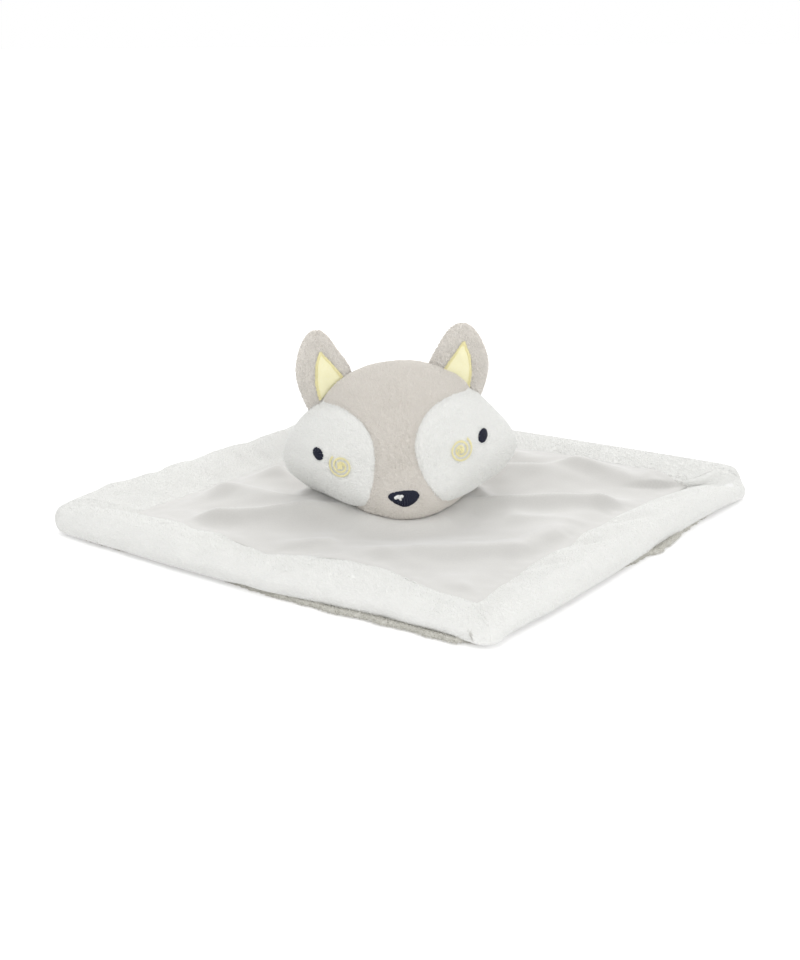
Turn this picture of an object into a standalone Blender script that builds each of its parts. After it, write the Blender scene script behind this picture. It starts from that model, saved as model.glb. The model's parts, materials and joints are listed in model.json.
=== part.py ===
"""Comfort blanket with a plush animal head, for a baby to hold.

A stuffed head with two sewn ears sits on a ring of stitches in the middle of a square blanket. The
blanket is a soft panel and a plush backing, framed by four padded border strips that meet in mitres.

Metres, +Z up, resting on Z = 0. The blanket's corners point along X and Y, and the face looks
towards -Y. Left and right are as seen from the front, so left is -X.
"""

import math

import bmesh
import bpy
import numpy as np
from mathutils import Matrix, Vector
from mathutils.bvhtree import BVHTree

# Clearances
GAP = 0.0003  # between two layers that touch
OVERRUN = 0.020  # how far a cutter runs past what it cuts

# Fabrics and threads
PLUSH = 0.0020
VELOUR = 0.0020
SATIN = 0.0006
SEAM_THREAD = 0.0008
NECK_THREAD = 0.0010
EMBROIDERY = 0.0008

# Blanket
BLANKET_SIDE = 0.260
BLANKET_CORNER_RADIUS = 0.024
BACKING_INSET = 0.0030
BORDER_WIDTH = 0.031
BORDER_CROWN = 0.0125
BORDER_CROWN_INSET = 0.0095
BORDER_WIDEST_HEIGHT = 0.0060
BORDER_SEAM_HEIGHT = 0.0056
BORDER_INNER_RADIUS = 0.0010
EDGE_SEAM_INSET = 0.0046
BORDER_TUCK_DEGREES = 40
WADDING_TUCK_DEGREES = 10
WADDING_INNER_INSET = 0.0028

# The lines of the soft folds in the centre panel: each runs from one place to another, both as
# shares of half the blanket's side, and has its own height and half-width
FOLD_HEIGHT = 0.0050
FOLD_HALF_WIDTH = 0.0110
FOLD_FADE_SHARE = 0.4  # of a fold's length, over which each end dies out
FOLD_SHARES = (
    ((-0.84, -0.24), (-0.26, -0.12), 1.0, 1.0),
    ((0.18, -0.20), (0.86, -0.16), 0.9, 0.9),
    ((-0.26, -0.62), (0.36, -0.62), 0.6, 0.9),
    ((0.34, -0.33), (0.66, -0.39), 0.6, 0.8),
    ((-0.62, -0.48), (-0.12, -0.60), 0.5, 0.9),
    ((-0.74, 0.24), (-0.42, 0.08), 0.8, 0.9),
    ((0.26, 0.30), (0.84, 0.24), 0.7, 1.0),
    ((-0.14, 0.42), (-0.28, 0.84), 0.7, 1.0),
    ((0.20, 0.48), (0.40, 0.74), 0.6, 0.9),
)
PANEL_LOFT = 0.0025
PANEL_EDGE_FADE = 0.016
PANEL_NECK_FADE = 0.030
PANEL_CELLS = 22

# Head, to the outside of its plush
HEAD_HALF_WIDTH = 0.0585
HEAD_ABOVE = 0.0415
HEAD_BELOW = 0.0305
HEAD_FRONT = 0.0610
HEAD_BACK = 0.0380
HEAD_FLAT = 0.0010  # how much of the underside is pressed flat
HEAD_OFFSET_X = -0.0068
HEAD_OFFSET_Y = -0.0040
HEAD_YAW_DEGREES = -8.0
HEAD_ROLL_DEGREES = -4.5
HEAD_SEGMENTS = 32
HEAD_RINGS = 16
# Level (1 at the crown, -1 underneath), then shares of the half-width, of the depth in front and of
# the depth behind, and how pointed the front is
HEAD_SECTION_SHARES = (
    (-1.00, 0.855, 0.984, 0.947, 2.80),
    (-0.85, 0.889, 1.000, 0.947, 2.80),
    (-0.50, 0.957, 0.902, 0.974, 2.20),
    (-0.05, 1.000, 0.713, 1.000, 1.40),
    (0.20, 0.932, 0.664, 1.000, 1.15),
    (0.45, 0.863, 0.623, 0.974, 1.05),
    (0.70, 0.855, 0.590, 0.947, 1.00),
    (0.90, 0.923, 0.574, 0.921, 1.00),
    (1.00, 0.957, 0.557, 0.895, 1.00),
)
UNDERSIDE_SQUARENESS = 0.5

# Seams of the head
FACE_SEAM_Y = 0.0060
CHEEK_INNER_X = 0.0090
CHEEK_OVERRUN = 0.0045  # how far its outline runs past the head's side
CHEEK_CENTRE_Z = 0.0020
CHEEK_HALF_HEIGHT = 0.0250
CHEEK_POWER = 2.4
CHEEK_POINTS = 40
NECK_RADIUS = 0.0200
NECK_POINTS = 32
NECK_FORWARD = 0.0040
NOD_BACK = 0.0300  # the head rocks back on its own lower edge, this far behind its neck
NOD_RISE = 0.0057
BASE_PANEL_RADIUS = 0.0240

# Ears
EAR_WIDTH = 0.0287
EAR_HEIGHT = 0.0376
EAR_INSET = 0.0395  # from the head's side in to where the ear starts
EAR_FOOT_DROP = 0.0215  # from the crown down to its outer foot
EAR_BEHIND_SEAM = 0.0015
EAR_THICKNESS = 0.0064
EAR_CUP = 0.0040
EAR_SEAT = 0.0006  # between the ear's sewn edge and the head
EAR_HINGE_RISE = 0.0030
EAR_DOME_POWER = 0.8
EAR_POINTS = 28
EAR_RINGS = 10
EAR_SEAT_POINTS = 5
EAR_CENTRE_SHARES = (0.56, 0.48)
# From the inner end of the sewn edge over the tip to its outer end, as shares of width and height
EAR_OUTLINE_SHARES = (
    (0.00, 0.484),
    (0.12, 0.633),
    (0.27, 0.798),
    (0.41, 0.930),
    (0.57, 1.000),
    (0.71, 0.985),
    (0.82, 0.900),
    (0.92, 0.750),
    (1.00, 0.530),
    (0.99, 0.320),
    (0.94, 0.150),
    (0.875, 0.00),
)
LINING_CORNER_SHARES = ((0.60, 0.775), (0.66, 0.38), (0.27, 0.56))
LINING_CORNER_RADIUS = 0.0016

# Face
EYE_INSET = 0.0192  # from the head's side in to the eye's middle
EYE_Z = 0.0077
EYE_HALF_WIDTH = 0.0023
EYE_HALF_HEIGHT = 0.0034
EYE_TILT_DEGREES = 10
SWIRL_INSET = 0.0304
SWIRL_Z = 0.0040
SWIRL_RADIUS = 0.0050
SWIRL_START_RADIUS = 0.0010
SWIRL_TURNS = 2.25
SWIRL_POINTS = 40
NOSE_Z = -0.0125
NOSE_HALF_WIDTH = 0.0080
NOSE_ABOVE = 0.0044
NOSE_BELOW = 0.0052
NOSE_CORNER_RADIUS = 0.0026
HIGHLIGHT_X = -0.0024
HIGHLIGHT_Z = 0.0011
HIGHLIGHT_HALF_WIDTH = 0.0024
HIGHLIGHT_HALF_HEIGHT = 0.0012

# Levels through the layers, from the table up
BACKING_TOP = PLUSH
PANEL_TOP = BACKING_TOP + GAP + VELOUR
NECK_THREAD_HEIGHT = PANEL_TOP + GAP + NECK_THREAD / 2
HEAD_UNDERSIDE = NECK_THREAD_HEIGHT + NECK_THREAD / 2 + GAP
HEAD_CENTRE_HEIGHT = HEAD_UNDERSIDE + HEAD_BELOW - HEAD_FLAT
HALF_SIDE = BLANKET_SIDE / 2

# Places on the head, from its side and its crown
CHEEK_OUTER_X = HEAD_HALF_WIDTH + CHEEK_OVERRUN
CHEEK_CENTRE_X = (CHEEK_INNER_X + CHEEK_OUTER_X) / 2
CHEEK_HALF_WIDTH = (CHEEK_OUTER_X - CHEEK_INNER_X) / 2
EAR_INNER_X = HEAD_HALF_WIDTH - EAR_INSET
EAR_FOOT_Z = HEAD_ABOVE - EAR_FOOT_DROP
EAR_Y = FACE_SEAM_Y + EAR_BEHIND_SEAM
EYE_X = HEAD_HALF_WIDTH - EYE_INSET
SWIRL_X = HEAD_HALF_WIDTH - SWIRL_INSET
SEAM_HALF_GAP = SEAM_THREAD / 2 + GAP

LEFT, RIGHT = -1, 1


def clear_scene():
    for thing in list(bpy.data.objects):
        bpy.data.objects.remove(thing, do_unlink=True)


def new_collection(name):
    collection = bpy.data.collections.new(name)
    bpy.context.scene.collection.children.link(collection)
    return collection


def make_material(name, colour, roughness):
    material = bpy.data.materials.new(name)
    material.use_nodes = True
    shader = material.node_tree.nodes["Principled BSDF"]
    shader.inputs["Base Color"].default_value = (*colour, 1)
    shader.inputs["Roughness"].default_value = roughness
    shader.inputs["Metallic"].default_value = 0
    material.diffuse_color = (*colour, 1)
    return material


def add_empty(name, parent=None, matrix=None):
    empty = bpy.data.objects.new(name, None)
    PARTS.objects.link(empty)
    empty.parent = parent
    empty.matrix_local = matrix or Matrix.Identity(4)
    return empty


def add_part(name, mesh_or_curve, material, parent=None, smooth=True):
    """A new object for one sewn piece."""
    part = bpy.data.objects.new(name, mesh_or_curve)
    PARTS.objects.link(part)
    part.parent = parent
    mesh_or_curve.materials.append(material)
    if smooth and isinstance(mesh_or_curve, bpy.types.Mesh):
        mesh_or_curve.shade_smooth()
    return part


def add_cutter(name, mesh, parent=None):
    cutter = bpy.data.objects.new(name, mesh)
    CUTTERS.objects.link(cutter)
    cutter.parent = parent
    cutter.hide_render = True
    cutter.display_type = "WIRE"
    return cutter


def mesh_from(name, bm):
    """Turns a bmesh into a mesh with its faces pointing outwards."""
    bmesh.ops.recalc_face_normals(bm, faces=bm.faces)
    mesh = bpy.data.meshes.new(name)
    bm.to_mesh(mesh)
    bm.free()
    return mesh


def facing(mesh, way):
    """Turns an open sheet over, if need be, so that its faces look this way."""
    way = Vector(way)
    if sum(face.normal.dot(way) * face.area for face in mesh.polygons) < 0:
        mesh.flip_normals()
    return mesh


def box_mesh(name, low, high):
    bm = bmesh.new()
    bmesh.ops.create_cube(bm, size=1)
    low, high = Vector(low), Vector(high)
    for vert in bm.verts:
        share = vert.co + Vector((0.5, 0.5, 0.5))
        vert.co = Vector(a + (b - a) * s for a, b, s in zip(low, high, share))
    return mesh_from(name, bm)


def add_solidify(part, thickness, offset=-1):
    modifier = part.modifiers.new("thickness", "SOLIDIFY")
    modifier.thickness = thickness
    modifier.offset = offset


def add_boolean(part, cutter, operation):
    modifier = part.modifiers.new(f"{operation.lower()} {cutter.name}", "BOOLEAN")
    modifier.operation = operation
    modifier.object = cutter
    modifier.solver = "EXACT"


def smooth_step(value):
    value = np.clip(value, 0, 1)
    return value * value * (3 - 2 * value)


def smooth_between(at, places, values):
    """A smooth curve through values at places, read at one point."""
    places, values = np.asarray(places), np.asarray(values)
    slopes = np.gradient(values, places)
    i = np.clip(np.searchsorted(places, at) - 1, 0, len(places) - 2)
    span = places[i + 1] - places[i]
    t = np.clip((at - places[i]) / span, 0, 1)
    from_left = (1 + 2 * t) * (1 - t) ** 2 * values[i] + t * (1 - t) ** 2 * span * slopes[i]
    from_right = t**2 * (3 - 2 * t) * values[i + 1] + t**2 * (t - 1) * span * slopes[i + 1]
    return from_left + from_right


def closed_spline(points, per_span):
    """Points on a smooth loop through the given points."""
    points = [Vector(p) for p in points]
    count, found = len(points), []
    for i in range(count):
        p0, p1, p2, p3 = (points[(i + k) % count] for k in (-1, 0, 1, 2))
        for step in range(per_span):
            t = step / per_span
            found.append(
                0.5
                * (
                    2 * p1
                    + (p2 - p0) * t
                    + (2 * p0 - 5 * p1 + 4 * p2 - p3) * t**2
                    + (3 * p1 - p0 - 3 * p2 + p3) * t**3
                )
            )
    return found


def rounded_polygon(corners, radius, per_corner, per_side=1):
    """The corners joined by straight sides and arcs, as a closed loop of points."""
    corners = [Vector(c) for c in corners]
    arcs = []
    for i, corner in enumerate(corners):
        before = (corners[i - 1] - corner).normalized()
        after = (corners[(i + 1) % len(corners)] - corner).normalized()
        half = before.angle(after) / 2
        centre = corner + (before + after).normalized() * (radius / math.sin(half))
        start = corner + before * (radius / math.tan(half)) - centre
        turn = math.copysign(math.pi - 2 * half, -before.cross(after))
        arcs.append(
            [
                centre + Matrix.Rotation(turn * k / per_corner, 2) @ start
                for k in range(per_corner + 1)
            ]
        )
    found = []
    for i, arc in enumerate(arcs):
        found += arc
        start, end = arc[-1], arcs[(i + 1) % len(arcs)][0]
        found += [start.lerp(end, k / per_side) for k in range(1, per_side)]
    return found


def ellipse(centre_x, centre_z, half_width, half_height, tilt_degrees, count):
    tilt = math.radians(tilt_degrees)
    found = []
    for k in range(count):
        angle = 2 * math.pi * k / count
        x, z = half_width * math.cos(angle), half_height * math.sin(angle)
        found.append(
            Vector(
                (
                    centre_x + x * math.cos(tilt) - z * math.sin(tilt),
                    centre_z + x * math.sin(tilt) + z * math.cos(tilt),
                )
            )
        )
    return found


def tube(name, points, radius, material, parent=None, cyclic=False, sides=1):
    """A thread along the points."""
    curve = bpy.data.curves.new(name, "CURVE")
    curve.dimensions = "3D"
    spline = curve.splines.new("POLY")
    spline.points.add(len(points) - 1)
    for point, place in zip(spline.points, points):
        point.co = (*place, 1)
    spline.use_cyclic_u = cyclic
    curve.bevel_depth = radius
    curve.bevel_resolution = sides
    curve.use_fill_caps = not cyclic
    return add_part(name, curve, material, parent)


# Blanket


def border_edge_place(corner, along, inset):
    """A place on the rounded square that lies inset from the blanket's edge, in the blanket's own
    square frame. along runs from 0 to 1 round one corner and then down the next side."""
    radius = max(BLANKET_CORNER_RADIUS - inset, BORDER_INNER_RADIUS)
    centre = HALF_SIDE - inset - radius
    turn = Matrix.Rotation(math.radians(90 * corner), 2)
    if along <= 0.5:
        angle = math.radians(180 * along)
        place = Vector((centre + radius * math.cos(angle), centre + radius * math.sin(angle)))
    else:
        share = 2 * along - 1
        place = Vector((centre - 2 * centre * share, centre + radius))
    return turn @ place


def ring_mesh(name, section, closed, arc_steps, side_steps):
    """Sweeps a section of (inset, height) points round the blanket's edge."""
    bm = bmesh.new()
    rows = []
    steps = [0.5 * k / arc_steps for k in range(arc_steps + 1)]
    steps += [0.5 + 0.5 * k / side_steps for k in range(1, side_steps)]
    for corner in range(4):
        for along in steps:
            row = []
            for inset, height in section:
                place = border_edge_place(corner, along, inset)
                row.append(bm.verts.new((place.x, place.y, height)))
            rows.append(row)
    count = len(section)
    for i, row in enumerate(rows):
        after = rows[(i + 1) % len(rows)]
        for k in range(count if closed else count - 1):
            n = (k + 1) % count
            bm.faces.new((row[k], after[k], after[n], row[n]))
    return mesh_from(name, bm)


def border_height(inset):
    """Height of the border's outside between its crown and its inner seam."""
    share = (inset - BORDER_CROWN_INSET) / (BORDER_WIDTH - BORDER_CROWN_INSET)
    drop = BORDER_CROWN - BORDER_SEAM_HEIGHT
    return BORDER_SEAM_HEIGHT + drop * (0.5 + 0.5 * math.cos(math.pi * min(share, 1)))


def border_section(under, tuck_degrees, inner_inset, round_steps, slope_steps):
    """The border's outer side and top as (inset, height), a distance under its outside."""
    half_width = BORDER_CROWN_INSET - under
    half_height = BORDER_CROWN - BORDER_WIDEST_HEIGHT - under
    section = []
    for k in range(round_steps + 1):
        angle = math.radians(-tuck_degrees + (90 + tuck_degrees) * k / round_steps)
        section.append(
            (
                BORDER_CROWN_INSET - half_width * math.cos(angle),
                BORDER_WIDEST_HEIGHT + half_height * math.sin(angle),
            )
        )
    for k in range(1, slope_steps + 1):
        inset = BORDER_CROWN_INSET + (inner_inset - BORDER_CROWN_INSET) * k / slope_steps
        section.append((inset, border_height(inset) - under))
    return section


def border_cutters():
    """One box for each quarter, so that the strips meet on the blanket's diagonals."""
    reach = HALF_SIDE * math.sqrt(2) + OVERRUN
    cutters = {}
    for name, x, y in (
        ("front_left", -1, -1),
        ("front_right", 1, -1),
        ("back_left", -1, 1),
        ("back_right", 1, 1),
    ):
        near_x, far_x = sorted((x * GAP / 2, x * reach))
        near_y, far_y = sorted((y * GAP / 2, y * reach))
        mesh = box_mesh(
            f"quarter_{name}", (near_x, near_y, -OVERRUN), (far_x, far_y, BORDER_CROWN + OVERRUN)
        )
        cutters[name] = add_cutter(f"quarter_{name}", mesh)
    return cutters


def make_border(blanket, plush, wadding):
    inner_inset = BORDER_WIDTH - SEAM_HALF_GAP
    skin_section = border_section(0, BORDER_TUCK_DEGREES, inner_inset, 6, 6)
    core_inset = BORDER_WIDTH - WADDING_INNER_INSET
    core_section = border_section(PLUSH + 2 * GAP, WADDING_TUCK_DEGREES, core_inset, 4, 4)
    floor = BACKING_TOP + GAP
    core_section += [(core_inset, floor), (EDGE_SEAM_INSET + 2 * SEAM_THREAD, floor)]
    for quarter, cutter in border_cutters().items():
        name = f"border_{quarter}"
        skin = ring_mesh(name, skin_section, False, arc_steps=5, side_steps=4)
        strip = add_part(name, facing(skin, (0, 0, 1)), plush, blanket)
        add_solidify(strip, PLUSH)
        add_boolean(strip, cutter, "INTERSECT")
        name = f"border_wadding_{quarter}"
        core = ring_mesh(name, core_section, True, arc_steps=3, side_steps=2)
        add_boolean(add_part(name, core, wadding, blanket), cutter, "INTERSECT")


def make_backing(blanket, material):
    half = HALF_SIDE - BACKING_INSET
    corners = [(half, half), (-half, half), (-half, -half), (half, -half)]
    outline = rounded_polygon(corners, BLANKET_CORNER_RADIUS - BACKING_INSET, 6)
    bm = bmesh.new()
    bmesh.ops.create_circle(bm, cap_ends=True, segments=len(outline), radius=1)
    bm.verts.ensure_lookup_table()
    for vert, place in zip(bm.verts, outline):
        vert.co = (place.x, place.y, 0)
    sheet = bm.faces[:]
    raised = bmesh.ops.extrude_face_region(bm, geom=sheet)["geom"]
    for vert in (v for v in raised if isinstance(v, bmesh.types.BMVert)):
        vert.co.z = BACKING_TOP
    add_part("backing_panel", mesh_from("backing_panel", bm), material, blanket, smooth=False)


def panel_rise(x, y):
    """Height of the centre panel's top above where it lies flat. x and y are in the row's frame."""
    rise = PANEL_LOFT
    for (x0, y0), (x1, y1), height_share, width_share in FOLD_SHARES:
        start = np.array((x0, y0)) * HALF_SIDE
        run = np.array((x1, y1)) * HALF_SIDE - start
        length = np.hypot(*run)
        along = ((x - start[0]) * run[0] + (y - start[1]) * run[1]) / length**2
        beside = ((y - start[1]) * run[0] - (x - start[0]) * run[1]) / length
        start_fade = smooth_step(along / FOLD_FADE_SHARE + 0.5)
        end_fade = smooth_step((1 - along) / FOLD_FADE_SHARE + 0.5)
        across = math.exp(-((beside / (FOLD_HALF_WIDTH * width_share)) ** 2))
        rise += FOLD_HEIGHT * height_share * start_fade * end_fade * across
    half = HALF_SIDE - BORDER_WIDTH
    a, b = (x + y) / math.sqrt(2), (y - x) / math.sqrt(2)
    to_edge = half - max(abs(a), abs(b))
    to_neck = math.hypot(x - NECK_PLACE.x, y - NECK_PLACE.y) - BASE_PANEL_RADIUS
    return rise * smooth_step(to_edge / PANEL_EDGE_FADE) * smooth_step(to_neck / PANEL_NECK_FADE)


def make_centre_panel(blanket, material):
    half = HALF_SIDE - BORDER_WIDTH - SEAM_HALF_GAP
    bm = bmesh.new()
    bmesh.ops.create_grid(bm, x_segments=PANEL_CELLS, y_segments=PANEL_CELLS, size=half)
    turn = Matrix.Rotation(math.radians(45), 3, "Z")
    for vert in bm.verts:
        place = turn @ vert.co
        vert.co.z = PANEL_TOP + panel_rise(place.x, place.y)
    sheet = facing(mesh_from("centre_panel", bm), (0, 0, 1))
    panel = add_part("centre_panel", sheet, material, blanket)
    add_solidify(panel, VELOUR)


def square_loop(inset, radius, per_corner):
    half = HALF_SIDE - inset
    corners = [(half, half), (-half, half), (-half, -half), (half, -half)]
    height = BACKING_TOP + GAP + SEAM_THREAD / 2
    return [(p.x, p.y, height) for p in rounded_polygon(corners, radius, per_corner)]


def make_blanket_seams(blanket, material):
    inner = square_loop(BORDER_WIDTH, SEAM_THREAD / 2, 2)
    tube("border_seam_thread", inner, SEAM_THREAD / 2, material, blanket, cyclic=True)
    outer = square_loop(EDGE_SEAM_INSET, BLANKET_CORNER_RADIUS - EDGE_SEAM_INSET, 6)
    tube("edge_seam_thread", outer, SEAM_THREAD / 2, material, blanket, cyclic=True)


# Head


def head_place(direction):
    """The point of the head's outside in this direction from its centre, in the head's frame."""
    level = direction.z
    flat = math.hypot(direction.x, direction.y)
    rows = np.array(HEAD_SECTION_SHARES)
    width, front, back, power = (
        float(smooth_between(level, rows[:, 0], rows[:, k])) for k in (1, 2, 3, 4)
    )
    across, ahead = (direction.x / flat, direction.y / flat) if flat else (0, 0)
    spread = flat if level > 0 else flat**UNDERSIDE_SQUARENESS
    if ahead < 0:
        depth = -HEAD_FRONT * front * abs(ahead) ** power
    else:
        depth = HEAD_BACK * back * ahead
    height = (HEAD_ABOVE if level > 0 else HEAD_BELOW) * level
    place = Vector((HEAD_HALF_WIDTH * width * across * spread, depth * spread, height))
    sunk = HEAD_UNDERSIDE - (HEAD_FRAME @ place).z
    if sunk > 0:
        place += HEAD_FRAME.to_3x3().inverted() @ Vector((0, 0, sunk))
    return place


def head_bmesh():
    bm = bmesh.new()
    bmesh.ops.create_uvsphere(bm, u_segments=HEAD_SEGMENTS, v_segments=HEAD_RINGS, radius=1)
    for vert in bm.verts:
        vert.co = head_place(vert.co.normalized())
    bmesh.ops.triangulate(bm, faces=bm.faces)
    bmesh.ops.recalc_face_normals(bm, faces=bm.faces)
    return bm


def cheek_outline(side, grow):
    found = []
    for k in range(CHEEK_POINTS):
        angle = 2 * math.pi * k / CHEEK_POINTS
        c, s = math.cos(angle), math.sin(angle)
        x = math.copysign(abs(c) ** (2 / CHEEK_POWER), c) * (CHEEK_HALF_WIDTH + grow)
        z = math.copysign(abs(s) ** (2 / CHEEK_POWER), s) * (CHEEK_HALF_HEIGHT + grow)
        found.append((side * (CHEEK_CENTRE_X + x), CHEEK_CENTRE_Z + z))
    return found


def prism_mesh(name, outline, front, back):
    """An outline in X and Z, drawn out along Y."""
    bm = bmesh.new()
    bmesh.ops.create_circle(bm, cap_ends=True, segments=len(outline), radius=1)
    bm.verts.ensure_lookup_table()
    for vert, (x, z) in zip(bm.verts, outline):
        vert.co = (x, front, z)
    raised = bmesh.ops.extrude_face_region(bm, geom=bm.faces[:])["geom"]
    for vert in (v for v in raised if isinstance(v, bmesh.types.BMVert)):
        vert.co.y = back
    return mesh_from(name, bm)


def column_mesh(name, radius, low, high, y):
    bm = bmesh.new()
    bmesh.ops.create_cone(
        bm,
        cap_ends=True,
        segments=NECK_POINTS,
        radius1=radius,
        radius2=radius,
        depth=high - low,
    )
    bmesh.ops.translate(bm, verts=bm.verts, vec=(0, y, (low + high) / 2))
    return mesh_from(name, bm)


def head_cutters(head):
    front = -HEAD_FRONT - OVERRUN
    wide = HEAD_HALF_WIDTH + OVERRUN
    low, high = -HEAD_BELOW - OVERRUN, HEAD_ABOVE + OVERRUN
    seam = FACE_SEAM_Y
    cutters = {
        "face": box_mesh("face_half", (-wide, front, low), (wide, seam - GAP / 2, high)),
        "back": box_mesh(
            "back_half", (-wide, seam + GAP / 2, low), (wide, HEAD_BACK + OVERRUN, high)
        ),
        "base": column_mesh("base_disc", BASE_PANEL_RADIUS, low, 0, -NECK_FORWARD),
        "base_room": column_mesh("base_room", BASE_PANEL_RADIUS + GAP, low, 0, -NECK_FORWARD),
    }
    for side, word in ((LEFT, "left"), (RIGHT, "right")):
        cutters[f"cheek_{word}"] = prism_mesh(
            f"cheek_{word}", cheek_outline(side, 0), front, seam - GAP / 2
        )
        cutters[f"cheek_{word}_room"] = prism_mesh(
            f"cheek_{word}_room", cheek_outline(side, GAP), front, seam + GAP / 2
        )
    return {name: add_cutter(mesh.name, mesh, head) for name, mesh in cutters.items()}


def make_head_panels(head, grey, white, cutters):
    """The plush pieces of the head's cover, each cut from one shell along its seams."""
    rooms = ("cheek_left_room", "cheek_right_room", "base_room")
    plan = {
        "forehead_muzzle_panel": (grey, "face", rooms),
        "cheek_patch_left": (white, "cheek_left", ("base_room",)),
        "cheek_patch_right": (white, "cheek_right", ("base_room",)),
        "head_back_panel": (grey, "back", ("base_room",)),
        "head_base_panel": (grey, "base", ()),
    }
    for name, (material, keep, remove) in plan.items():
        panel = add_part(name, mesh_from(name, head_bmesh()), material, head)
        add_solidify(panel, PLUSH)
        add_boolean(panel, cutters[keep], "INTERSECT")
        for other in remove:
            add_boolean(panel, cutters[other], "DIFFERENCE")


def make_head_filling(head, material):
    bm = head_bmesh()
    bm.normal_update()
    inward = {vert: vert.normal * (PLUSH + GAP) for vert in bm.verts}
    for vert, step in inward.items():
        vert.co -= step
    add_part("head_filling", mesh_from("head_filling", bm), material, head)


def disc_bmesh(segments, rings=3):
    """A flat disc of radius 1 with rings of faces round its centre."""
    bm = bmesh.new()
    bmesh.ops.create_circle(bm, cap_ends=True, segments=segments, radius=1)
    bm.faces.ensure_lookup_table()
    middle = bm.faces[0]
    for _ in range(rings - 1):
        bmesh.ops.inset_region(bm, faces=[middle], thickness=1 / rings)
    bmesh.ops.poke(bm, faces=[middle])
    return bm


def applique(name, outline, host, thickness, material, parent, into=None):
    """A thin patch with this outline in X and Z, laid on the host's front. into carries its points
    from the host's frame to the parent's."""
    count = len(outline)
    centre = sum(outline, Vector((0, 0))) / count
    bm = disc_bmesh(count)
    for vert in bm.verts:
        turn = math.atan2(vert.co.y, vert.co.x) / (2 * math.pi)
        edge = outline[round(turn * count) % count]
        place = centre + (edge - centre) * vert.co.length
        point, normal = on_front(host, place.x, place.y)
        point += normal * GAP
        vert.co = into @ point if into else point
    part = add_part(name, facing(mesh_from(name, bm), (0, -1, 0)), material, parent)
    add_solidify(part, thickness, offset=1)
    return part


def on_front(host, x, z):
    """Where a needle from the front at this X and Z meets the host, and the host's normal there."""
    start = Vector((x, -HEAD_FRONT - OVERRUN, z))
    point, normal, _, _ = host.ray_cast(start, Vector((0, 1, 0)))
    return point, normal


def make_face(head, host, navy, yellow, white):
    for side, word in ((LEFT, "left"), (RIGHT, "right")):
        tilt = -side * EYE_TILT_DEGREES
        eye = ellipse(side * EYE_X, EYE_Z, EYE_HALF_WIDTH, EYE_HALF_HEIGHT, tilt, 16)
        applique(f"eye_{word}", eye, host, EMBROIDERY, navy, head)
        points = []
        for k in range(SWIRL_POINTS + 1):
            share = k / SWIRL_POINTS
            angle = side * 2 * math.pi * SWIRL_TURNS * share - math.pi / 2
            radius = SWIRL_START_RADIUS + (SWIRL_RADIUS - SWIRL_START_RADIUS) * share
            x = side * SWIRL_X + radius * math.cos(angle)
            z = SWIRL_Z + radius * math.sin(angle)
            point, normal = on_front(host, x, z)
            points.append(point + normal * (GAP + EMBROIDERY / 2))
        tube(f"cheek_swirl_{word}", points, EMBROIDERY / 2, yellow, head)
    nose_corners = (
        (-NOSE_HALF_WIDTH, NOSE_Z + NOSE_ABOVE),
        (0, NOSE_Z - NOSE_BELOW),
        (NOSE_HALF_WIDTH, NOSE_Z + NOSE_ABOVE),
    )
    nose_outline = rounded_polygon(nose_corners, NOSE_CORNER_RADIUS, 5, 2)
    nose = applique("nose", nose_outline, host, EMBROIDERY, navy, head)
    highlight_outline = ellipse(
        HIGHLIGHT_X,
        NOSE_Z + HIGHLIGHT_Z,
        HIGHLIGHT_HALF_WIDTH,
        HIGHLIGHT_HALF_HEIGHT,
        0,
        12,
    )
    applique("nose_highlight", highlight_outline, surface_of(nose), EMBROIDERY / 2, white, head)


def surface_of(part):
    """The part's finished surface, for laying another piece on it."""
    graph = bpy.context.evaluated_depsgraph_get()
    return BVHTree.FromObject(part, graph)


# Ears


def ear_place(side, u, v):
    """A place in the ear's plane, from shares of the ear's width and height."""
    return Vector((side * (EAR_INNER_X + EAR_WIDTH * u), EAR_FOOT_Z + EAR_HEIGHT * v))


def on_crown(host, x):
    """Where a needle from above meets the head in the ear's plane, and the head's normal there."""
    start = Vector((x, EAR_Y, HEAD_ABOVE + OVERRUN))
    point, normal, _, _ = host.ray_cast(start, Vector((0, 0, -1)))
    return point, normal


def ear_outline(side, host):
    """The ear's outline in X and Z, closed along the head where it is sewn on, at even angles."""
    free = [ear_place(side, u, v) for u, v in EAR_OUTLINE_SHARES]
    inner, outer = free[0], free[-1]
    seat = []
    for k in range(EAR_SEAT_POINTS + 1):
        x = outer.x + (inner.x - outer.x) * k / EAR_SEAT_POINTS
        point, normal = on_crown(host, x)
        foot = point + normal * EAR_SEAT
        seat.append(Vector((foot.x, foot.z)))
    centre = ear_place(side, *EAR_CENTRE_SHARES)
    spokes = [p - centre for p in closed_spline(free[1:-1] + seat, 4)]
    spokes.sort(key=lambda spoke: math.atan2(spoke.y, spoke.x))
    angles = [math.atan2(spoke.y, spoke.x) for spoke in spokes]
    reaches = [spoke.length for spoke in spokes]
    outline = []
    for k in range(EAR_POINTS):
        angle = 2 * math.pi * k / EAR_POINTS
        reach = float(np.interp(angle, angles, reaches, period=2 * math.pi))
        outline.append(centre + Vector((math.cos(angle), math.sin(angle))) * reach)
    return outline


def ear_hinge(side, host):
    """A frame on the line that the ear folds along: X runs along its sewn edge and Z up the ear."""
    inner = ear_place(side, *EAR_OUTLINE_SHARES[0])
    outer = ear_place(side, *EAR_OUTLINE_SHARES[-1])
    along = Vector((outer.x - inner.x, 0, outer.y - inner.y)).normalized() * side
    back = Vector((0, 1, 0))
    upward = along.cross(back)
    seat, _ = on_crown(host, (inner.x + outer.x) / 2)
    hinge = Matrix((along, back, upward)).transposed().to_4x4()
    hinge.translation = seat + upward * EAR_HINGE_RISE
    return hinge


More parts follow.
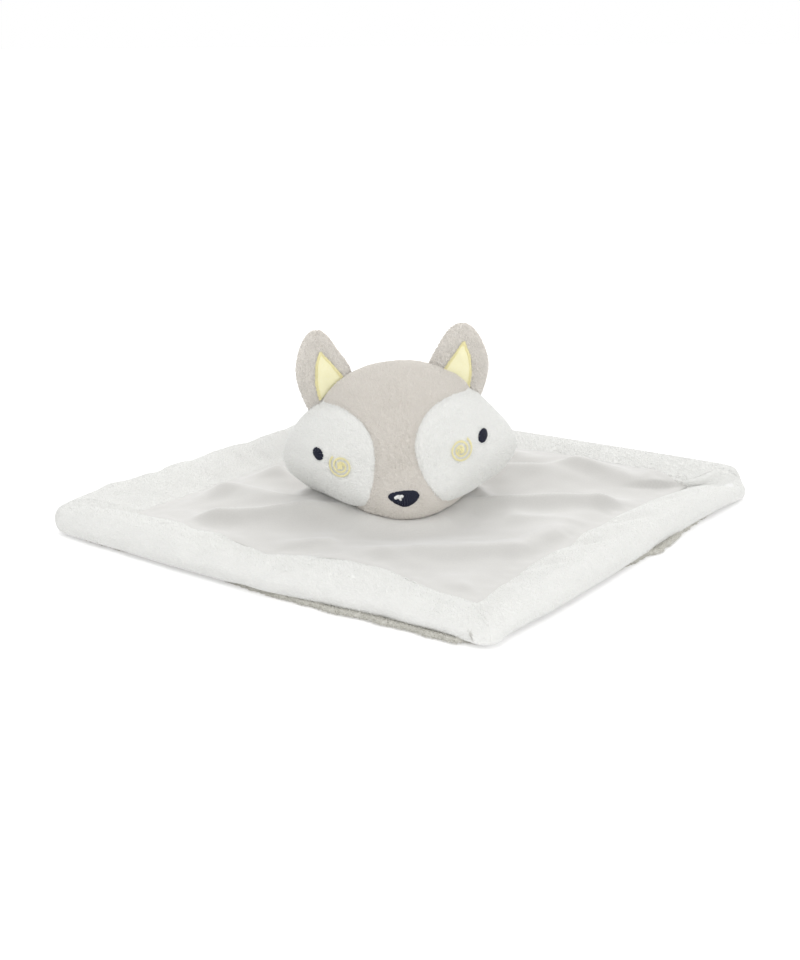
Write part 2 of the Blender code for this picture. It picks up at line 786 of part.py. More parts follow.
def ear_layer(name, side, outline, front, hinge):
    """Half of the ear's thickness: domed outside, plain where it meets the other half, and cupped
    forwards at its sides above the fold."""
    bm = bmesh.new()
    bmesh.ops.create_uvsphere(bm, u_segments=EAR_POINTS, v_segments=EAR_RINGS, radius=1)
    bmesh.ops.rotate(bm, verts=bm.verts, matrix=Matrix.Rotation(math.radians(90), 3, "X"))
    centre = ear_place(side, *EAR_CENTRE_SHARES)
    way = -1 if front else 1
    into = hinge.inverted()
    for vert in bm.verts:
        reach = math.hypot(vert.co.x, vert.co.z)
        turn = math.atan2(vert.co.z, vert.co.x) / (2 * math.pi)
        place = centre + (outline[round(turn * EAR_POINTS) % EAR_POINTS] - centre) * reach
        flat = into @ Vector((place.x, EAR_Y, place.y))
        across = (place.x - centre.x) / (EAR_WIDTH / 2)
        cup = EAR_CUP * across**2 * float(smooth_step(flat.z / (EAR_HEIGHT / 2)))
        swell = EAR_THICKNESS / 2 * max(way * vert.co.y, 0) ** EAR_DOME_POWER
        vert.co = flat + Vector((0, way * (GAP / 2 + swell) - cup, 0))
    return mesh_from(name, bm)


def make_ear(head, side, word, host, plush, satin, thread):
    hinge = ear_hinge(side, host)
    pivot = add_empty(f"ear_{word}_hinge", head, hinge)
    outline = ear_outline(side, host)
    front = ear_layer(f"ear_front_{word}", side, outline, True, hinge)
    add_part(front.name, front, plush, pivot)
    back = ear_layer(f"ear_back_{word}", side, outline, False, hinge)
    add_part(back.name, back, plush, pivot)
    bm = bmesh.new()
    bm.from_mesh(front)
    bmesh.ops.transform(bm, matrix=hinge, verts=bm.verts)
    surface = BVHTree.FromBMesh(bm)
    bm.free()
    corners = [ear_place(side, u, v) for u, v in LINING_CORNER_SHARES]
    lining = rounded_polygon(corners, LINING_CORNER_RADIUS, 3, 5)
    applique(f"ear_lining_{word}", lining, surface, SATIN, satin, pivot, hinge.inverted())
    middle = sum(lining, Vector((0, 0))) / len(lining)
    stitches = []
    for place in lining:
        clear = place + (place - middle).normalized() * (EMBROIDERY / 2 + 2 * GAP)
        point, normal = on_front(surface, clear.x, clear.y)
        stitches.append(hinge.inverted() @ (point + normal * (GAP + EMBROIDERY / 2)))
    tube(f"ear_stitching_{word}", stitches, EMBROIDERY / 2, thread, pivot, cyclic=True)
    return pivot


def make_neck(neck, material):
    angles = [2 * math.pi * k / NECK_POINTS for k in range(NECK_POINTS)]
    ring = [(NECK_RADIUS * math.cos(a), NECK_RADIUS * math.sin(a), 0) for a in angles]
    tube("neck_seam_thread", ring, NECK_THREAD / 2, material, neck, cyclic=True)


def say(name, pivot, axis):
    """Prints a joint's place and axis in the whole part's frame."""
    place = pivot.matrix_world.translation
    way = pivot.matrix_world.to_3x3() @ Vector(axis)
    print(name, "at", [round(v, 6) for v in place], "axis", [round(v, 6) for v in way])


clear_scene()
PARTS = new_collection("comfort_blanket")
CUTTERS = new_collection("cutters")

grey_plush = make_material("grey_plush", (0.62, 0.58, 0.54), 0.95)
white_plush = make_material("white_plush", (0.90, 0.90, 0.88), 0.95)
grey_velour = make_material("grey_velour", (0.80, 0.79, 0.76), 0.9)
white_fibre = make_material("white_fibre", (0.93, 0.93, 0.93), 1.0)
yellow_satin = make_material("yellow_satin", (0.93, 0.88, 0.55), 0.45)
yellow_thread = make_material("yellow_thread", (0.88, 0.78, 0.35), 0.6)
navy_thread = make_material("navy_thread", (0.03, 0.035, 0.07), 0.6)
white_thread = make_material("white_thread", (0.88, 0.88, 0.86), 0.6)

yaw = Matrix.Rotation(math.radians(HEAD_YAW_DEGREES), 4, "Z")
roll = Matrix.Rotation(math.radians(HEAD_ROLL_DEGREES), 4, "Y")
head_offset = Vector((HEAD_OFFSET_X, HEAD_OFFSET_Y, HEAD_CENTRE_HEIGHT))
HEAD_FRAME = Matrix.Translation(head_offset) @ yaw @ roll
forward = yaw.to_3x3() @ Vector((0, -NECK_FORWARD, 0))
NECK_PLACE = Vector((HEAD_OFFSET_X, HEAD_OFFSET_Y, NECK_THREAD_HEIGHT)) + forward

blanket_frame = add_empty("blanket_frame", matrix=Matrix.Rotation(math.radians(45), 4, "Z"))
make_backing(blanket_frame, white_plush)
make_centre_panel(blanket_frame, grey_velour)
make_border(blanket_frame, white_plush, white_fibre)
make_blanket_seams(blanket_frame, white_thread)

neck_matrix = Matrix.Translation(NECK_PLACE) @ yaw
neck_pivot = add_empty("neck_pivot", matrix=neck_matrix)
make_neck(neck_pivot, white_thread)
nod_matrix = Matrix.Translation((0, NOD_BACK, HEAD_UNDERSIDE + NOD_RISE - NECK_THREAD_HEIGHT))
nod_pivot = add_empty("nod_pivot", neck_pivot, nod_matrix)
head_matrix = (neck_matrix @ nod_matrix).inverted() @ HEAD_FRAME
head_frame = add_empty("head_frame", nod_pivot, head_matrix)

bpy.context.view_layer.update()
skin = head_bmesh()
skin_surface = BVHTree.FromBMesh(skin)
skin.free()
make_head_filling(head_frame, white_fibre)
make_head_panels(head_frame, grey_plush, white_plush, head_cutters(head_frame))
make_face(head_frame, skin_surface, navy_thread, yellow_thread, white_thread)
ear_fabrics = (grey_plush, yellow_satin, yellow_thread)
left_pivot = make_ear(head_frame, LEFT, "left", skin_surface, *ear_fabrics)
right_pivot = make_ear(head_frame, RIGHT, "right", skin_surface, *ear_fabrics)

bpy.context.view_layer.update()
say("head_turn", neck_pivot, (0, 0, 1))
say("head_nod", nod_pivot, (-1, 0, 0))
say("ear_left_flex", left_pivot, (1, 0, 0))
say("ear_right_flex", right_pivot, (1, 0, 0))
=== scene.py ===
# %% [markdown]
# # A comfort blanket with a plush animal head
#
# The toy has a padded border of white plush round a pale velour panel, and a stuffed head sewn to
# its middle. This lesson dresses the plain solids of the frame as those fabrics: each piece of
# cloth is shaped first, then its pile, stitches and colours go on. Lengths are in metres.

import json
import math

import bpy
import numpy as np
from mathutils import Matrix, Vector
from mathutils.bvhtree import BVHTree
from mathutils.kdtree import KDTree
from mathutils.noise import noise

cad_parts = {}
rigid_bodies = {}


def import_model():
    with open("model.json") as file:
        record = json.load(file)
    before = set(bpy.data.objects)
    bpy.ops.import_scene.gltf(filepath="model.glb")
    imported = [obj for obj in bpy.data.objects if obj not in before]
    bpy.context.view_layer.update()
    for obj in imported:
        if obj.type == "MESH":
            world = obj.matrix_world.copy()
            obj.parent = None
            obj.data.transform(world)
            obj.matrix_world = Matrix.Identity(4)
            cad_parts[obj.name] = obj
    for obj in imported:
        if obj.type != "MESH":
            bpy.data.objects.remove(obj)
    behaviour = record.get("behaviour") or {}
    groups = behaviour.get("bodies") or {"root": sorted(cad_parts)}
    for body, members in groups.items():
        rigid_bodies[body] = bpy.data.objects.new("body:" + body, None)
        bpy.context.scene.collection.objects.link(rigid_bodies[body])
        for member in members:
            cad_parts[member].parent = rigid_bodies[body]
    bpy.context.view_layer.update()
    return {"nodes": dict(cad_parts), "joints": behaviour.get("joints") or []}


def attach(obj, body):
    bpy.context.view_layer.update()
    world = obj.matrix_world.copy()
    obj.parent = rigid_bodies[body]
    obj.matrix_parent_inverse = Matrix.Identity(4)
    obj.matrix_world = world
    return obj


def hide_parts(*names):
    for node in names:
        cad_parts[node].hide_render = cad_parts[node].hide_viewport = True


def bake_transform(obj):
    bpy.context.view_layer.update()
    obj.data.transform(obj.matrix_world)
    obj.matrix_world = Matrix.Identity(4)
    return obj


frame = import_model()
MM = 0.001
print("solids in the frame:", len(frame["nodes"]))

# %% [markdown]
# ## Camera
#
# The photo was taken from low down and a little to the left. The camera comes first, because every
# later look is judged through it. It could be placed by eye. Here its angle, distance and lens
# were fitted to the blanket's corners in the photo, so that sizes can be compared as well.

# %% Camera
LOOK_AT = Vector((0.0011, 0.0504, 0.0))
CAMERA_DISTANCE = 0.8633
CAMERA_AZIMUTH = math.radians(-9.21)
CAMERA_ELEVATION = math.radians(17.29)
CAMERA_LENS = 59.9  # on Blender's sensor, 36 mm along the picture's longer side
CAMERA_CLIP = 0.01


def way_back(azimuth, elevation):
    """The unit vector from what is looked at back towards the camera."""
    level = math.cos(elevation)
    return Vector((math.sin(azimuth) * level, -math.cos(azimuth) * level, math.sin(elevation)))


back = way_back(CAMERA_AZIMUTH, CAMERA_ELEVATION)
bpy.ops.object.camera_add(location=LOOK_AT + back * CAMERA_DISTANCE)
camera = bpy.context.object
camera.rotation_euler = (-back).to_track_quat("-Z", "Y").to_euler()
camera.data.lens = CAMERA_LENS
camera.data.sensor_width = 36
camera.data.clip_start = CAMERA_CLIP
bpy.context.scene.camera = camera
print("camera at", [round(v, 4) for v in camera.location])

# %% [markdown]
# ## Light
#
# A studio's large soft boxes leave hardly any shadow on pale cloth. Spots would draw hard edges,
# so there are three wide square lamps: one above on the left, a low one in front and one behind,
# which brightens the crown and the far border.

# %% Lamps
bpy.context.scene.view_settings.view_transform = "Standard"
# Azimuth and elevation in degrees, distance, size and power
LAMPS = {
    "key_lamp": (-25, 66, 1.6, 1.2, 6.6),
    "fill_lamp": (8, 16, 1.7, 1.4, 7.6),
    "rim_lamp": (165, 42, 1.6, 1.2, 10.5),
}
for name, (azimuth, elevation, distance, size, power) in LAMPS.items():
    way = way_back(math.radians(azimuth), math.radians(elevation))
    bpy.ops.object.light_add(type="AREA", location=way * distance)
    lamp = bpy.context.object
    lamp.name = name
    lamp.rotation_euler = (-way).to_track_quat("-Z", "Y").to_euler()
    lamp.data.size = size
    lamp.data.energy = power
print("lamps:", list(LAMPS))

# %% [markdown]
# ## Nodes
#
# The world, the materials and the pile are all trees of nodes. Adding each node by hand takes four
# or five lines, so a few helpers add one with its settings and set or link its inputs.

# %% Helpers for nodes


def new_node(tree, kind, inputs=(), **settings):
    """A node with these settings, and inputs set or linked by name or number."""
    node = tree.nodes.new(kind)
    for key, value in settings.items():
        setattr(node, key, value)
    for key, value in dict(inputs).items():
        if isinstance(value, bpy.types.NodeSocket):
            tree.links.new(value, node.inputs[key])
        else:
            node.inputs[key].default_value = value
    return node


def computed(tree, operation, *values):
    """What a Math node makes of these values."""
    return new_node(tree, "ShaderNodeMath", dict(enumerate(values)), operation=operation).outputs[0]


def vector_of(tree, operation, inputs):
    """What a Vector Math node makes of its inputs, of which number 3 is the scale."""
    return new_node(tree, "ShaderNodeVectorMath", inputs, operation=operation).outputs[0]


def ranged(tree, value, low, high, from_low=0.0, from_high=1.0):
    """A value moved from one range to another."""
    limits = {"From Min": from_low, "From Max": from_high, "To Min": low, "To Max": high}
    return new_node(tree, "ShaderNodeMapRange", {"Value": value, **limits}).outputs["Result"]


def mixed_colour(tree, share, low, high):
    """A colour between two others."""
    inputs = {"Factor": share, 6: low, 7: high}
    return new_node(tree, "ShaderNodeMix", inputs, data_type="RGBA").outputs[2]


def new_material(name, values=()):
    """A material with a node tree, and its Principled shader with these values."""
    material = bpy.data.materials.new(name)
    material.use_nodes = True
    shader = material.node_tree.nodes["Principled BSDF"]
    for key, value in dict(values).items():
        shader.inputs[key].default_value = value
    return material, material.node_tree, shader


print("node helpers ready")

# %% [markdown]
# ## World and floor
#
# The photo's background is pure white. A white world that bright would wash the cloth out, so only
# the camera and mirrored or clear rays see it white, and it lights the cloth more weakly. The
# floor keeps the blanket's soft contact shadow. It glows a little, and more with distance, so that
# it fades into the white.

# %% World
WORLD_LIGHT = 0.58

world = bpy.data.worlds.new("studio")
bpy.context.scene.world = world
world.use_nodes = True
tree = world.node_tree
rays = new_node(tree, "ShaderNodeLightPath").outputs
seen = computed(tree, "MAXIMUM", rays["Is Camera Ray"], rays["Is Glossy Ray"])
seen = computed(tree, "MAXIMUM", seen, rays["Is Transmission Ray"])
sky = tree.nodes["Background"]
sky.inputs["Color"].default_value = (1, 1, 1, 1)
tree.links.new(ranged(tree, seen, WORLD_LIGHT, 1), sky.inputs["Strength"])
print("world light:", WORLD_LIGHT)

# %% Working by hand


def pick(*objects):
    """Selects only these objects and makes the last one active."""
    bpy.ops.object.select_all(action="DESELECT")
    for thing in objects:
        thing.hide_set(False)
        thing.select_set(True)
    bpy.context.view_layer.objects.active = objects[-1]
    return objects[-1]


def added(name):
    """Names the primitive that was just added, and its mesh."""
    thing = bpy.context.object
    thing.name = name
    thing.data.name = name
    return thing


# %% Floor
FLOOR_SIZE = 12.0
FLOOR_HEIGHT = -0.0002
FLOOR_GLOW = (0.34, 1.0)  # near the blanket and far from it
GLOW_FROM, GLOW_TO = 0.16, 0.5  # how far from the middle the glow grows
UNSEEN_GLOW = 0.4  # how strongly the glow lights the cloth's underside

bpy.ops.mesh.primitive_plane_add(size=FLOOR_SIZE, location=(0, 0, FLOOR_HEIGHT))
floor = added("studio_floor")
floor_material, tree, paper = new_material(
    "pale_floor",
    {
        "Base Color": (0.86, 0.86, 0.86, 1),
        "Roughness": 0.9,
        "Specular IOR Level": 0.1,
        "Emission Color": (1, 1, 1, 1),
    },
)
floor.data.materials.append(floor_material)
place = new_node(tree, "ShaderNodeTexCoord").outputs["Object"]
away = new_node(tree, "ShaderNodeVectorMath", {0: place}, operation="LENGTH").outputs["Value"]
whiter = ranged(tree, away, *FLOOR_GLOW, GLOW_FROM, GLOW_TO)
seen = ranged(tree, new_node(tree, "ShaderNodeLightPath").outputs["Is Camera Ray"], UNSEEN_GLOW, 1)
tree.links.new(computed(tree, "MULTIPLY", seen, whiter), paper.inputs["Emission Strength"])
print("floor:", FLOOR_SIZE, "m wide")

# %% [markdown]
# ## Meshes as arrays
#
# Cloth is shaped by moving many points at once. Looping over a mesh's vertices is slow in Python,
# so the points are read into an array, moved there, and written back. The other helpers apply a
# modifier or copy a solid of the frame, as one would in the viewport.

# %% Applying a modifier


def with_modifier(thing, kind, **settings):
    """Adds a modifier with these settings and applies it."""
    pick(thing)
    modifier = thing.modifiers.new("shaping", kind)
    for key, value in settings.items():
        setattr(modifier, key, value)
    bpy.ops.object.modifier_apply(modifier=modifier.name)
    return thing


def place_applied(thing):
    """Applies where an object stands, so that its points hold their real places."""
    pick(thing)
    bpy.ops.object.transform_apply(location=True, rotation=True, scale=True)
    return thing


def edit_mesh(thing, *operators):
    """Goes into edit mode, selects all and runs these operators."""
    pick(thing)
    bpy.ops.object.mode_set(mode="EDIT")
    bpy.ops.mesh.select_all(action="SELECT")
    for operator, values in operators:
        operator(**values)
    bpy.ops.object.mode_set(mode="OBJECT")
    return thing


OUTWARD = (bpy.ops.mesh.normals_make_consistent, {"inside": False})
FUSE = 0.00001
FUSED = (bpy.ops.mesh.remove_doubles, {"threshold": FUSE})
print("points closer than", FUSE, "m count as one")

# %% Points in and out


def points_of(thing):
    found = np.empty(len(thing.data.vertices) * 3)
    thing.data.vertices.foreach_get("co", found)
    return found.reshape(-1, 3)


def normals_of(thing):
    found = np.empty(len(thing.data.vertices) * 3, np.float32)
    thing.data.vertices.foreach_get("normal", found)
    return found.reshape(-1, 3).astype(float)


def move_points(thing, places):
    thing.data.vertices.foreach_set("co", np.asarray(places, np.float32).ravel())
    thing.data.update()
    return thing


def write_values(thing, name, values):
    """Keeps a number on each point of a mesh, for its pile or its material to read."""
    attribute = thing.data.attributes.new(name, "FLOAT", "POINT")
    attribute.data.foreach_set("value", np.asarray(values, np.float32))


def smooth_step(value):
    value = np.clip(value, 0, 1)
    return value * value * (3 - 2 * value)


def noises(places, scale, offset=(0, 0, 0)):
    """Soft noise between -1 and 1 at each place."""
    offset = Vector(offset)
    return np.array([noise(Vector(place) * scale + offset) for place in places])


print("a step at 0, 0.5 and 1:", smooth_step(np.array((0, 0.5, 1))))

# %% Copying a solid


def surface_of(thing):
    """A mesh's surface, for finding places on it."""
    bpy.context.view_layer.update()
    return BVHTree.FromObject(thing, bpy.context.evaluated_depsgraph_get())


def cad_copy(name, node):
    """A mesh copy of a solid of the frame, with its loose triangles merged into one skin."""
    pick(frame["nodes"][node])
    bpy.ops.object.duplicate()
    copy = added(name)
    for key in list(copy.keys()):
        del copy[key]
    copy.parent = None
    copy.data.materials.clear()
    return edit_mesh(copy, FUSED, (bpy.ops.mesh.tris_convert_to_quads, {}))


print("nodes to copy from:", len(frame["nodes"]))

# %% [markdown]
# ## Fabric finishes
#
# Plush, velour, satin and thread share one effect: their colour is never quite even, because the
# fibres lie in slightly different ways. A picture texture could show that, but it would stretch
# over folds. One node group makes it from noise instead, and every fabric uses it with its own
# colours and sizes.

# %% The group for uneven fibre


def socket_of(group, name, way, kind, value=None):
    socket = group.interface.new_socket(name, in_out=way, socket_type=kind)
    if value is not None:
        socket.default_value = value
    return socket


def noise_node(tree, place, scale, detail, roughness):
    inputs = {"Vector": place, "Scale": scale, "Detail": detail, "Roughness": roughness}
    return new_node(tree, "ShaderNodeTexNoise", inputs).outputs["Fac"]


uneven = bpy.data.node_groups.new("uneven_fibre", "ShaderNodeTree")
socket_of(uneven, "Light", "INPUT", "NodeSocketColor", (0.8, 0.8, 0.8, 1))
socket_of(uneven, "Dark", "INPUT", "NodeSocketColor", (0.6, 0.6, 0.6, 1))
socket_of(uneven, "Patch Scale", "INPUT", "NodeSocketFloat", 40.0)
socket_of(uneven, "Fibre Scale", "INPUT", "NodeSocketFloat", 900.0)
socket_of(uneven, "Colour", "OUTPUT", "NodeSocketColor")
socket_of(uneven, "Height", "OUTPUT", "NodeSocketFloat")
given = new_node(uneven, "NodeGroupInput").outputs
place = new_node(uneven, "ShaderNodeTexCoord").outputs["Object"]
patches = noise_node(uneven, place, given["Patch Scale"], 3, 0.55)
fibres = noise_node(uneven, place, given["Fibre Scale"], 2, 0.6)
both = computed(uneven, "MULTIPLY_ADD", patches, 0.55, fibres)
spread = ranged(uneven, both, 0, 1, 0.45, 1.1)
colour = mixed_colour(uneven, spread, given["Dark"], given["Light"])
new_node(uneven, "NodeGroupOutput", {"Colour": colour, "Height": fibres})
print("group:", uneven.name, [s.name for s in uneven.interface.items_tree])

# %% [markdown]
# ## Plush
#
# Plush is a forest of short tufts. Light gets lost between them, so they look darker at the root,
# and no two tufts lie the same way. Both could be left to the light alone, but at this size the
# pile is coarser than the real one. So the mesh of the pile carries two numbers, how far up its
# tuft a point is and a shade of its own for each tuft, and the material reads them.

# %% Plush


def fibre_colour(tree, light, dark, patch_scale, fibre_scale):
    """The shared group, with this fabric's colours and sizes."""
    inputs = {
        "Light": (*light, 1),
        "Dark": (*dark, 1),
        "Patch Scale": patch_scale,
        "Fibre Scale": fibre_scale,
    }
    return new_node(tree, "ShaderNodeGroup", inputs, node_tree=uneven).outputs


def carried(tree, name):
    """A number that the mesh carries."""
    return new_node(tree, "ShaderNodeAttribute", attribute_name=name).outputs["Fac"]


def plush_material(name, light, dark, root, sheen):
    """Plush: its tufts are darker at the root, and each has a shade of its own."""
    shine = {
        "Roughness": 0.85,
        "Specular IOR Level": 0.15,
        "Sheen Weight": sheen,
        "Sheen Roughness": 0.45,
    }
    material, tree, shader = new_material(name, shine)
    fibre = fibre_colour(tree, light, dark, 45, 1100)
    climbed = mixed_colour(tree, carried(tree, "tip"), (*root, 1), fibre["Colour"])
    shade = ranged(tree, carried(tree, "tone"), 0.98, 1.02)
    tree.links.new(vector_of(tree, "SCALE", {0: climbed, 3: shade}), shader.inputs["Base Color"])
    return material


white_plush = plush_material(
    "white_plush", (0.925, 0.93, 0.915), (0.90, 0.905, 0.885), (0.90, 0.90, 0.88), 0.2
)
grey_plush = plush_material(
    "grey_plush", (0.82, 0.789, 0.744), (0.76, 0.725, 0.675), (0.75, 0.715, 0.666), 0.25
)
# Painted light: the ears take a paler copy of the grey plush, standing in for light that comes
# through their thin plush
ear_plush_painted_light = plush_material(
    "ear_plush_painted_light", (0.91, 0.88, 0.84), (0.855, 0.825, 0.78), (0.845, 0.815, 0.77), 0.25
)
# Painted shade: the backing takes a darker, greyer copy of the white plush, for its edge in the shade
# under the border
backing_plush_painted_shade = plush_material(
    "backing_plush_painted_shade", (0.80, 0.79, 0.74), (0.74, 0.73, 0.675), (0.66, 0.65, 0.60), 0.2
)
print("plush:", white_plush.name, grey_plush.name, ear_plush_painted_light.name, backing_plush_painted_shade.name)

# %% [markdown]
# ## Smooth cloths and threads
#
# Velour, satin, loose fibre and thread show no tufts at this size. Their weave or nap is a fine
# relief over the same uneven colour, and what tells them apart is their gloss: satin shines,
# thread a little, and velour has a sheen where one looks along it.

# %% Velour, satin, fibre and threads


def cloth_material(name, light, dark, scales, roughness, sheen, bump):
    """A fabric without tufts: uneven colour, and a fine height for its weave or nap."""
    shine = {"Roughness": roughness, "Specular IOR Level": 0.2, "Sheen Weight": sheen}
    material, tree, shader = new_material(name, shine)
    fibre = fibre_colour(tree, light, dark, *scales)
    inputs = {"Height": fibre["Height"], "Strength": bump, "Distance": 0.0002}
    relief = new_node(tree, "ShaderNodeBump", inputs)
    tree.links.new(fibre["Colour"], shader.inputs["Base Color"])
    tree.links.new(relief.outputs["Normal"], shader.inputs["Normal"])
    return material


grey_velour = cloth_material(
    "grey_velour", (0.725, 0.715, 0.688), (0.665, 0.655, 0.628), (30, 1500), 0.85, 0.9, 0.5
)
yellow_satin = cloth_material(
    "yellow_satin", (0.95, 0.92, 0.64), (0.92, 0.88, 0.56), (120, 900), 0.45, 0.1, 0.25
)
white_fibre = cloth_material(
    "white_fibre", (0.94, 0.94, 0.93), (0.86, 0.86, 0.85), (150, 700), 0.95, 0.2, 1.0
)
white_thread = cloth_material(
    "white_thread", (0.90, 0.90, 0.88), (0.82, 0.82, 0.80), (300, 3000), 0.6, 0.1, 0.5
)
yellow_thread = cloth_material(
    "yellow_thread", (0.95, 0.895, 0.55), (0.915, 0.84, 0.46), (300, 3000), 0.55, 0.1, 0.5
)
navy_thread = cloth_material(
    "navy_thread", (0.018, 0.021, 0.042), (0.009, 0.011, 0.024), (300, 3000), 0.5, 0.05, 0.5
)
print("cloths:", grey_velour.name, yellow_satin.name, white_fibre.name)

# %% [markdown]
# Painted light and shade: the velour is coloured darker where the cloth slopes towards the camera,
# and a little lighter where it slopes away, standing in for the look of its brushed nap. The panel
# carries that as a number on its mesh. The last material is the knitted back of the fabrics, which
# shows only inside the head and at cut edges.

# %% Painted slope shade and knitted back
PAINTED_SLOPE_SHADES = (1.05, 0.85)  # painted lighter where a slope faces away from the camera, painted darker where it faces it

# Painted shade and light: the velour's colour is scaled by the slope number on the panel's mesh.
tree = grey_velour.node_tree
colour_input = tree.nodes["Principled BSDF"].inputs["Base Color"]
plain = colour_input.links[0].from_socket
shade = ranged(tree, carried(tree, "painted_slope_shade"), *PAINTED_SLOPE_SHADES)
tree.links.new(vector_of(tree, "SCALE", {0: plain, 3: shade}), colour_input)

knit_back, tree, shader = new_material("knitted_back", {"Roughness": 0.9})
knitted = fibre_colour(tree, (0.78, 0.77, 0.74), (0.68, 0.67, 0.64), 60, 1400)
tree.links.new(knitted["Colour"], shader.inputs["Base Color"])
print("nap shades:", PAINTED_SLOPE_SHADES)

# %% [markdown]
# ## Growing a pile
#
# Real plush is a knitted base with thousands of short tufts. Particle hair would be one way to
# make it, but hair is no mesh. Here one pointed tuft is modelled, and geometry nodes set copies of
# it on the cloth, leaning the way the pile is brushed, and then make them real faces.

# %% One tuft
TUFT_SIDES = 3

bpy.ops.mesh.primitive_cone_add(
    vertices=TUFT_SIDES, radius1=0.5, radius2=0, depth=1, location=(0, 0, 0.5)
)
tuft = place_applied(added("tuft"))
tuft.hide_render = True
tuft.hide_viewport = True
print("faces in a tuft:", len(tuft.data.polygons))

# %% The pile's inputs
FLOAT, VECTOR = "NodeSocketFloat", "NodeSocketVector"
PILE_SOCKETS = {
    "Geometry": "NodeSocketGeometry",
    "Tufts per m2": FLOAT,
    "Length": FLOAT,
    "Width": FLOAT,
    "Nap From": VECTOR,
    "Nap": FLOAT,
    "Scatter": FLOAT,
    "Seed": "NodeSocketInt",
    "Material": "NodeSocketMaterial",
}
pile = bpy.data.node_groups.new("pile", "GeometryNodeTree")
for name, kind in PILE_SOCKETS.items():
    socket_of(pile, name, "INPUT", kind)
socket_of(pile, "Geometry", "OUTPUT", "NodeSocketGeometry")
cloth = new_node(pile, "NodeGroupInput").outputs
print("pile inputs:", list(PILE_SOCKETS))

# %% [markdown]
# Tufts stand only on the outside of a cloth, which is its first material, and not where the number
# "bare" on its mesh is 1, for instance under embroidery.

# %% Where the tufts stand
bare = new_node(pile, "GeometryNodeInputNamedAttribute", {"Name": "bare"}).outputs["Attribute"]
kept = new_node(pile, "ShaderNodeMath", {0: 1.0, 1: bare}, operation="SUBTRACT", use_clamp=True)
slot_number = new_node(pile, "GeometryNodeInputMaterialIndex").outputs[0]
outside = new_node(
    pile, "FunctionNodeCompare", {2: slot_number, 3: 0}, data_type="INT", operation="EQUAL"
)
roots = new_node(
    pile,
    "GeometryNodeDistributePointsOnFaces",
    {
        "Mesh": cloth["Geometry"],
        "Selection": outside.outputs[0],
        "Density": computed(pile, "MULTIPLY", kept.outputs[0], cloth["Tufts per m2"]),
        "Seed": cloth["Seed"],
    },
).outputs
print("nodes so far:", len(pile.nodes))

# %% [markdown]
# The nap runs along the cloth, away from the place that it is brushed from, and swings a little
# from spot to spot. A tuft lies with one of its three sides more or less upwards, which gives the
# smooth look of brushed plush. Turned at random, the sides would glitter.

# %% Which way the tufts lean


def random_value(low, high, seed, kind="FLOAT"):
    """Random numbers or vectors, one for each tuft."""
    node = pile.nodes.new("FunctionNodeRandomValue")
    node.data_type = kind
    sockets = [s for s in node.inputs if s.enabled]
    sockets[0].default_value = low
    sockets[1].default_value = high
    node.inputs["Seed"].default_value = seed
    return next(s for s in node.outputs if s.enabled)


def random_way(reach, seed):
    return random_value((-reach,) * 3, (reach,) * 3, seed, "FLOAT_VECTOR")


spot = new_node(pile, "GeometryNodeInputPosition").outputs[0]
ahead = vector_of(pile, "SUBTRACT", {0: spot, 1: cloth["Nap From"]})
over = vector_of(pile, "PROJECT", {0: ahead, 1: roots["Normal"]})
along = vector_of(pile, "NORMALIZE", {0: vector_of(pile, "SUBTRACT", {0: ahead, 1: over})})
brushed = new_node(pile, "ShaderNodeTexNoise", {"Scale": 55.0, "Detail": 1.0}).outputs["Fac"]
laid = computed(pile, "MULTIPLY", ranged(pile, brushed, 0.7, 1.3), cloth["Nap"])
lean = vector_of(pile, "SCALE", {0: along, 3: laid})
scatter = vector_of(pile, "SCALE", {0: random_way(1, 1), 3: cloth["Scatter"]})
way = vector_of(pile, "ADD", {0: roots["Normal"], 1: lean})
way = vector_of(pile, "ADD", {0: way, 1: scatter})
pointed = new_node(pile, "FunctionNodeAlignRotationToVector", {"Vector": way}, axis="Z")
rolled = vector_of(pile, "SUBTRACT", {0: random_way(0.5, 2), 1: roots["Normal"]})
turned = new_node(
    pile,
    "FunctionNodeAlignRotationToVector",
    {"Rotation": pointed.outputs[0], "Vector": rolled},
    axis="Y",
    pivot_axis="Z",
)
height = computed(pile, "MULTIPLY", cloth["Length"], random_value(0.7, 1.15, 3))
sizes = {"X": cloth["Width"], "Y": cloth["Width"], "Z": height}
size = new_node(pile, "ShaderNodeCombineXYZ", sizes)
print("nodes so far:", len(pile.nodes))

# %% [markdown]
# Each tuft gets its height and shade as numbers, and takes its root's place on the cloth's UV map,
# so that a baked texture has room for it.

# %% Setting the tufts


def stored(geometry, name, value, domain="POINT", kind="FLOAT"):
    """Keeps a value on the geometry under a name."""
    node = pile.nodes.new("GeometryNodeStoreNamedAttribute")
    node.data_type = kind
    node.domain = domain
    node.inputs["Name"].default_value = name
    pile.links.new(geometry, node.inputs["Geometry"])
    pile.links.new(value, next(s for s in node.inputs if s.name == "Value" and s.enabled))
    return node.outputs["Geometry"]


def kept_vector(name):
    inputs = {"Name": name}
    kind = "GeometryNodeInputNamedAttribute"
    return new_node(pile, kind, inputs, data_type="FLOAT_VECTOR").outputs[0]


ON_MAP = (0.002, 0.002, 0)  # a tuft's size on the UV map

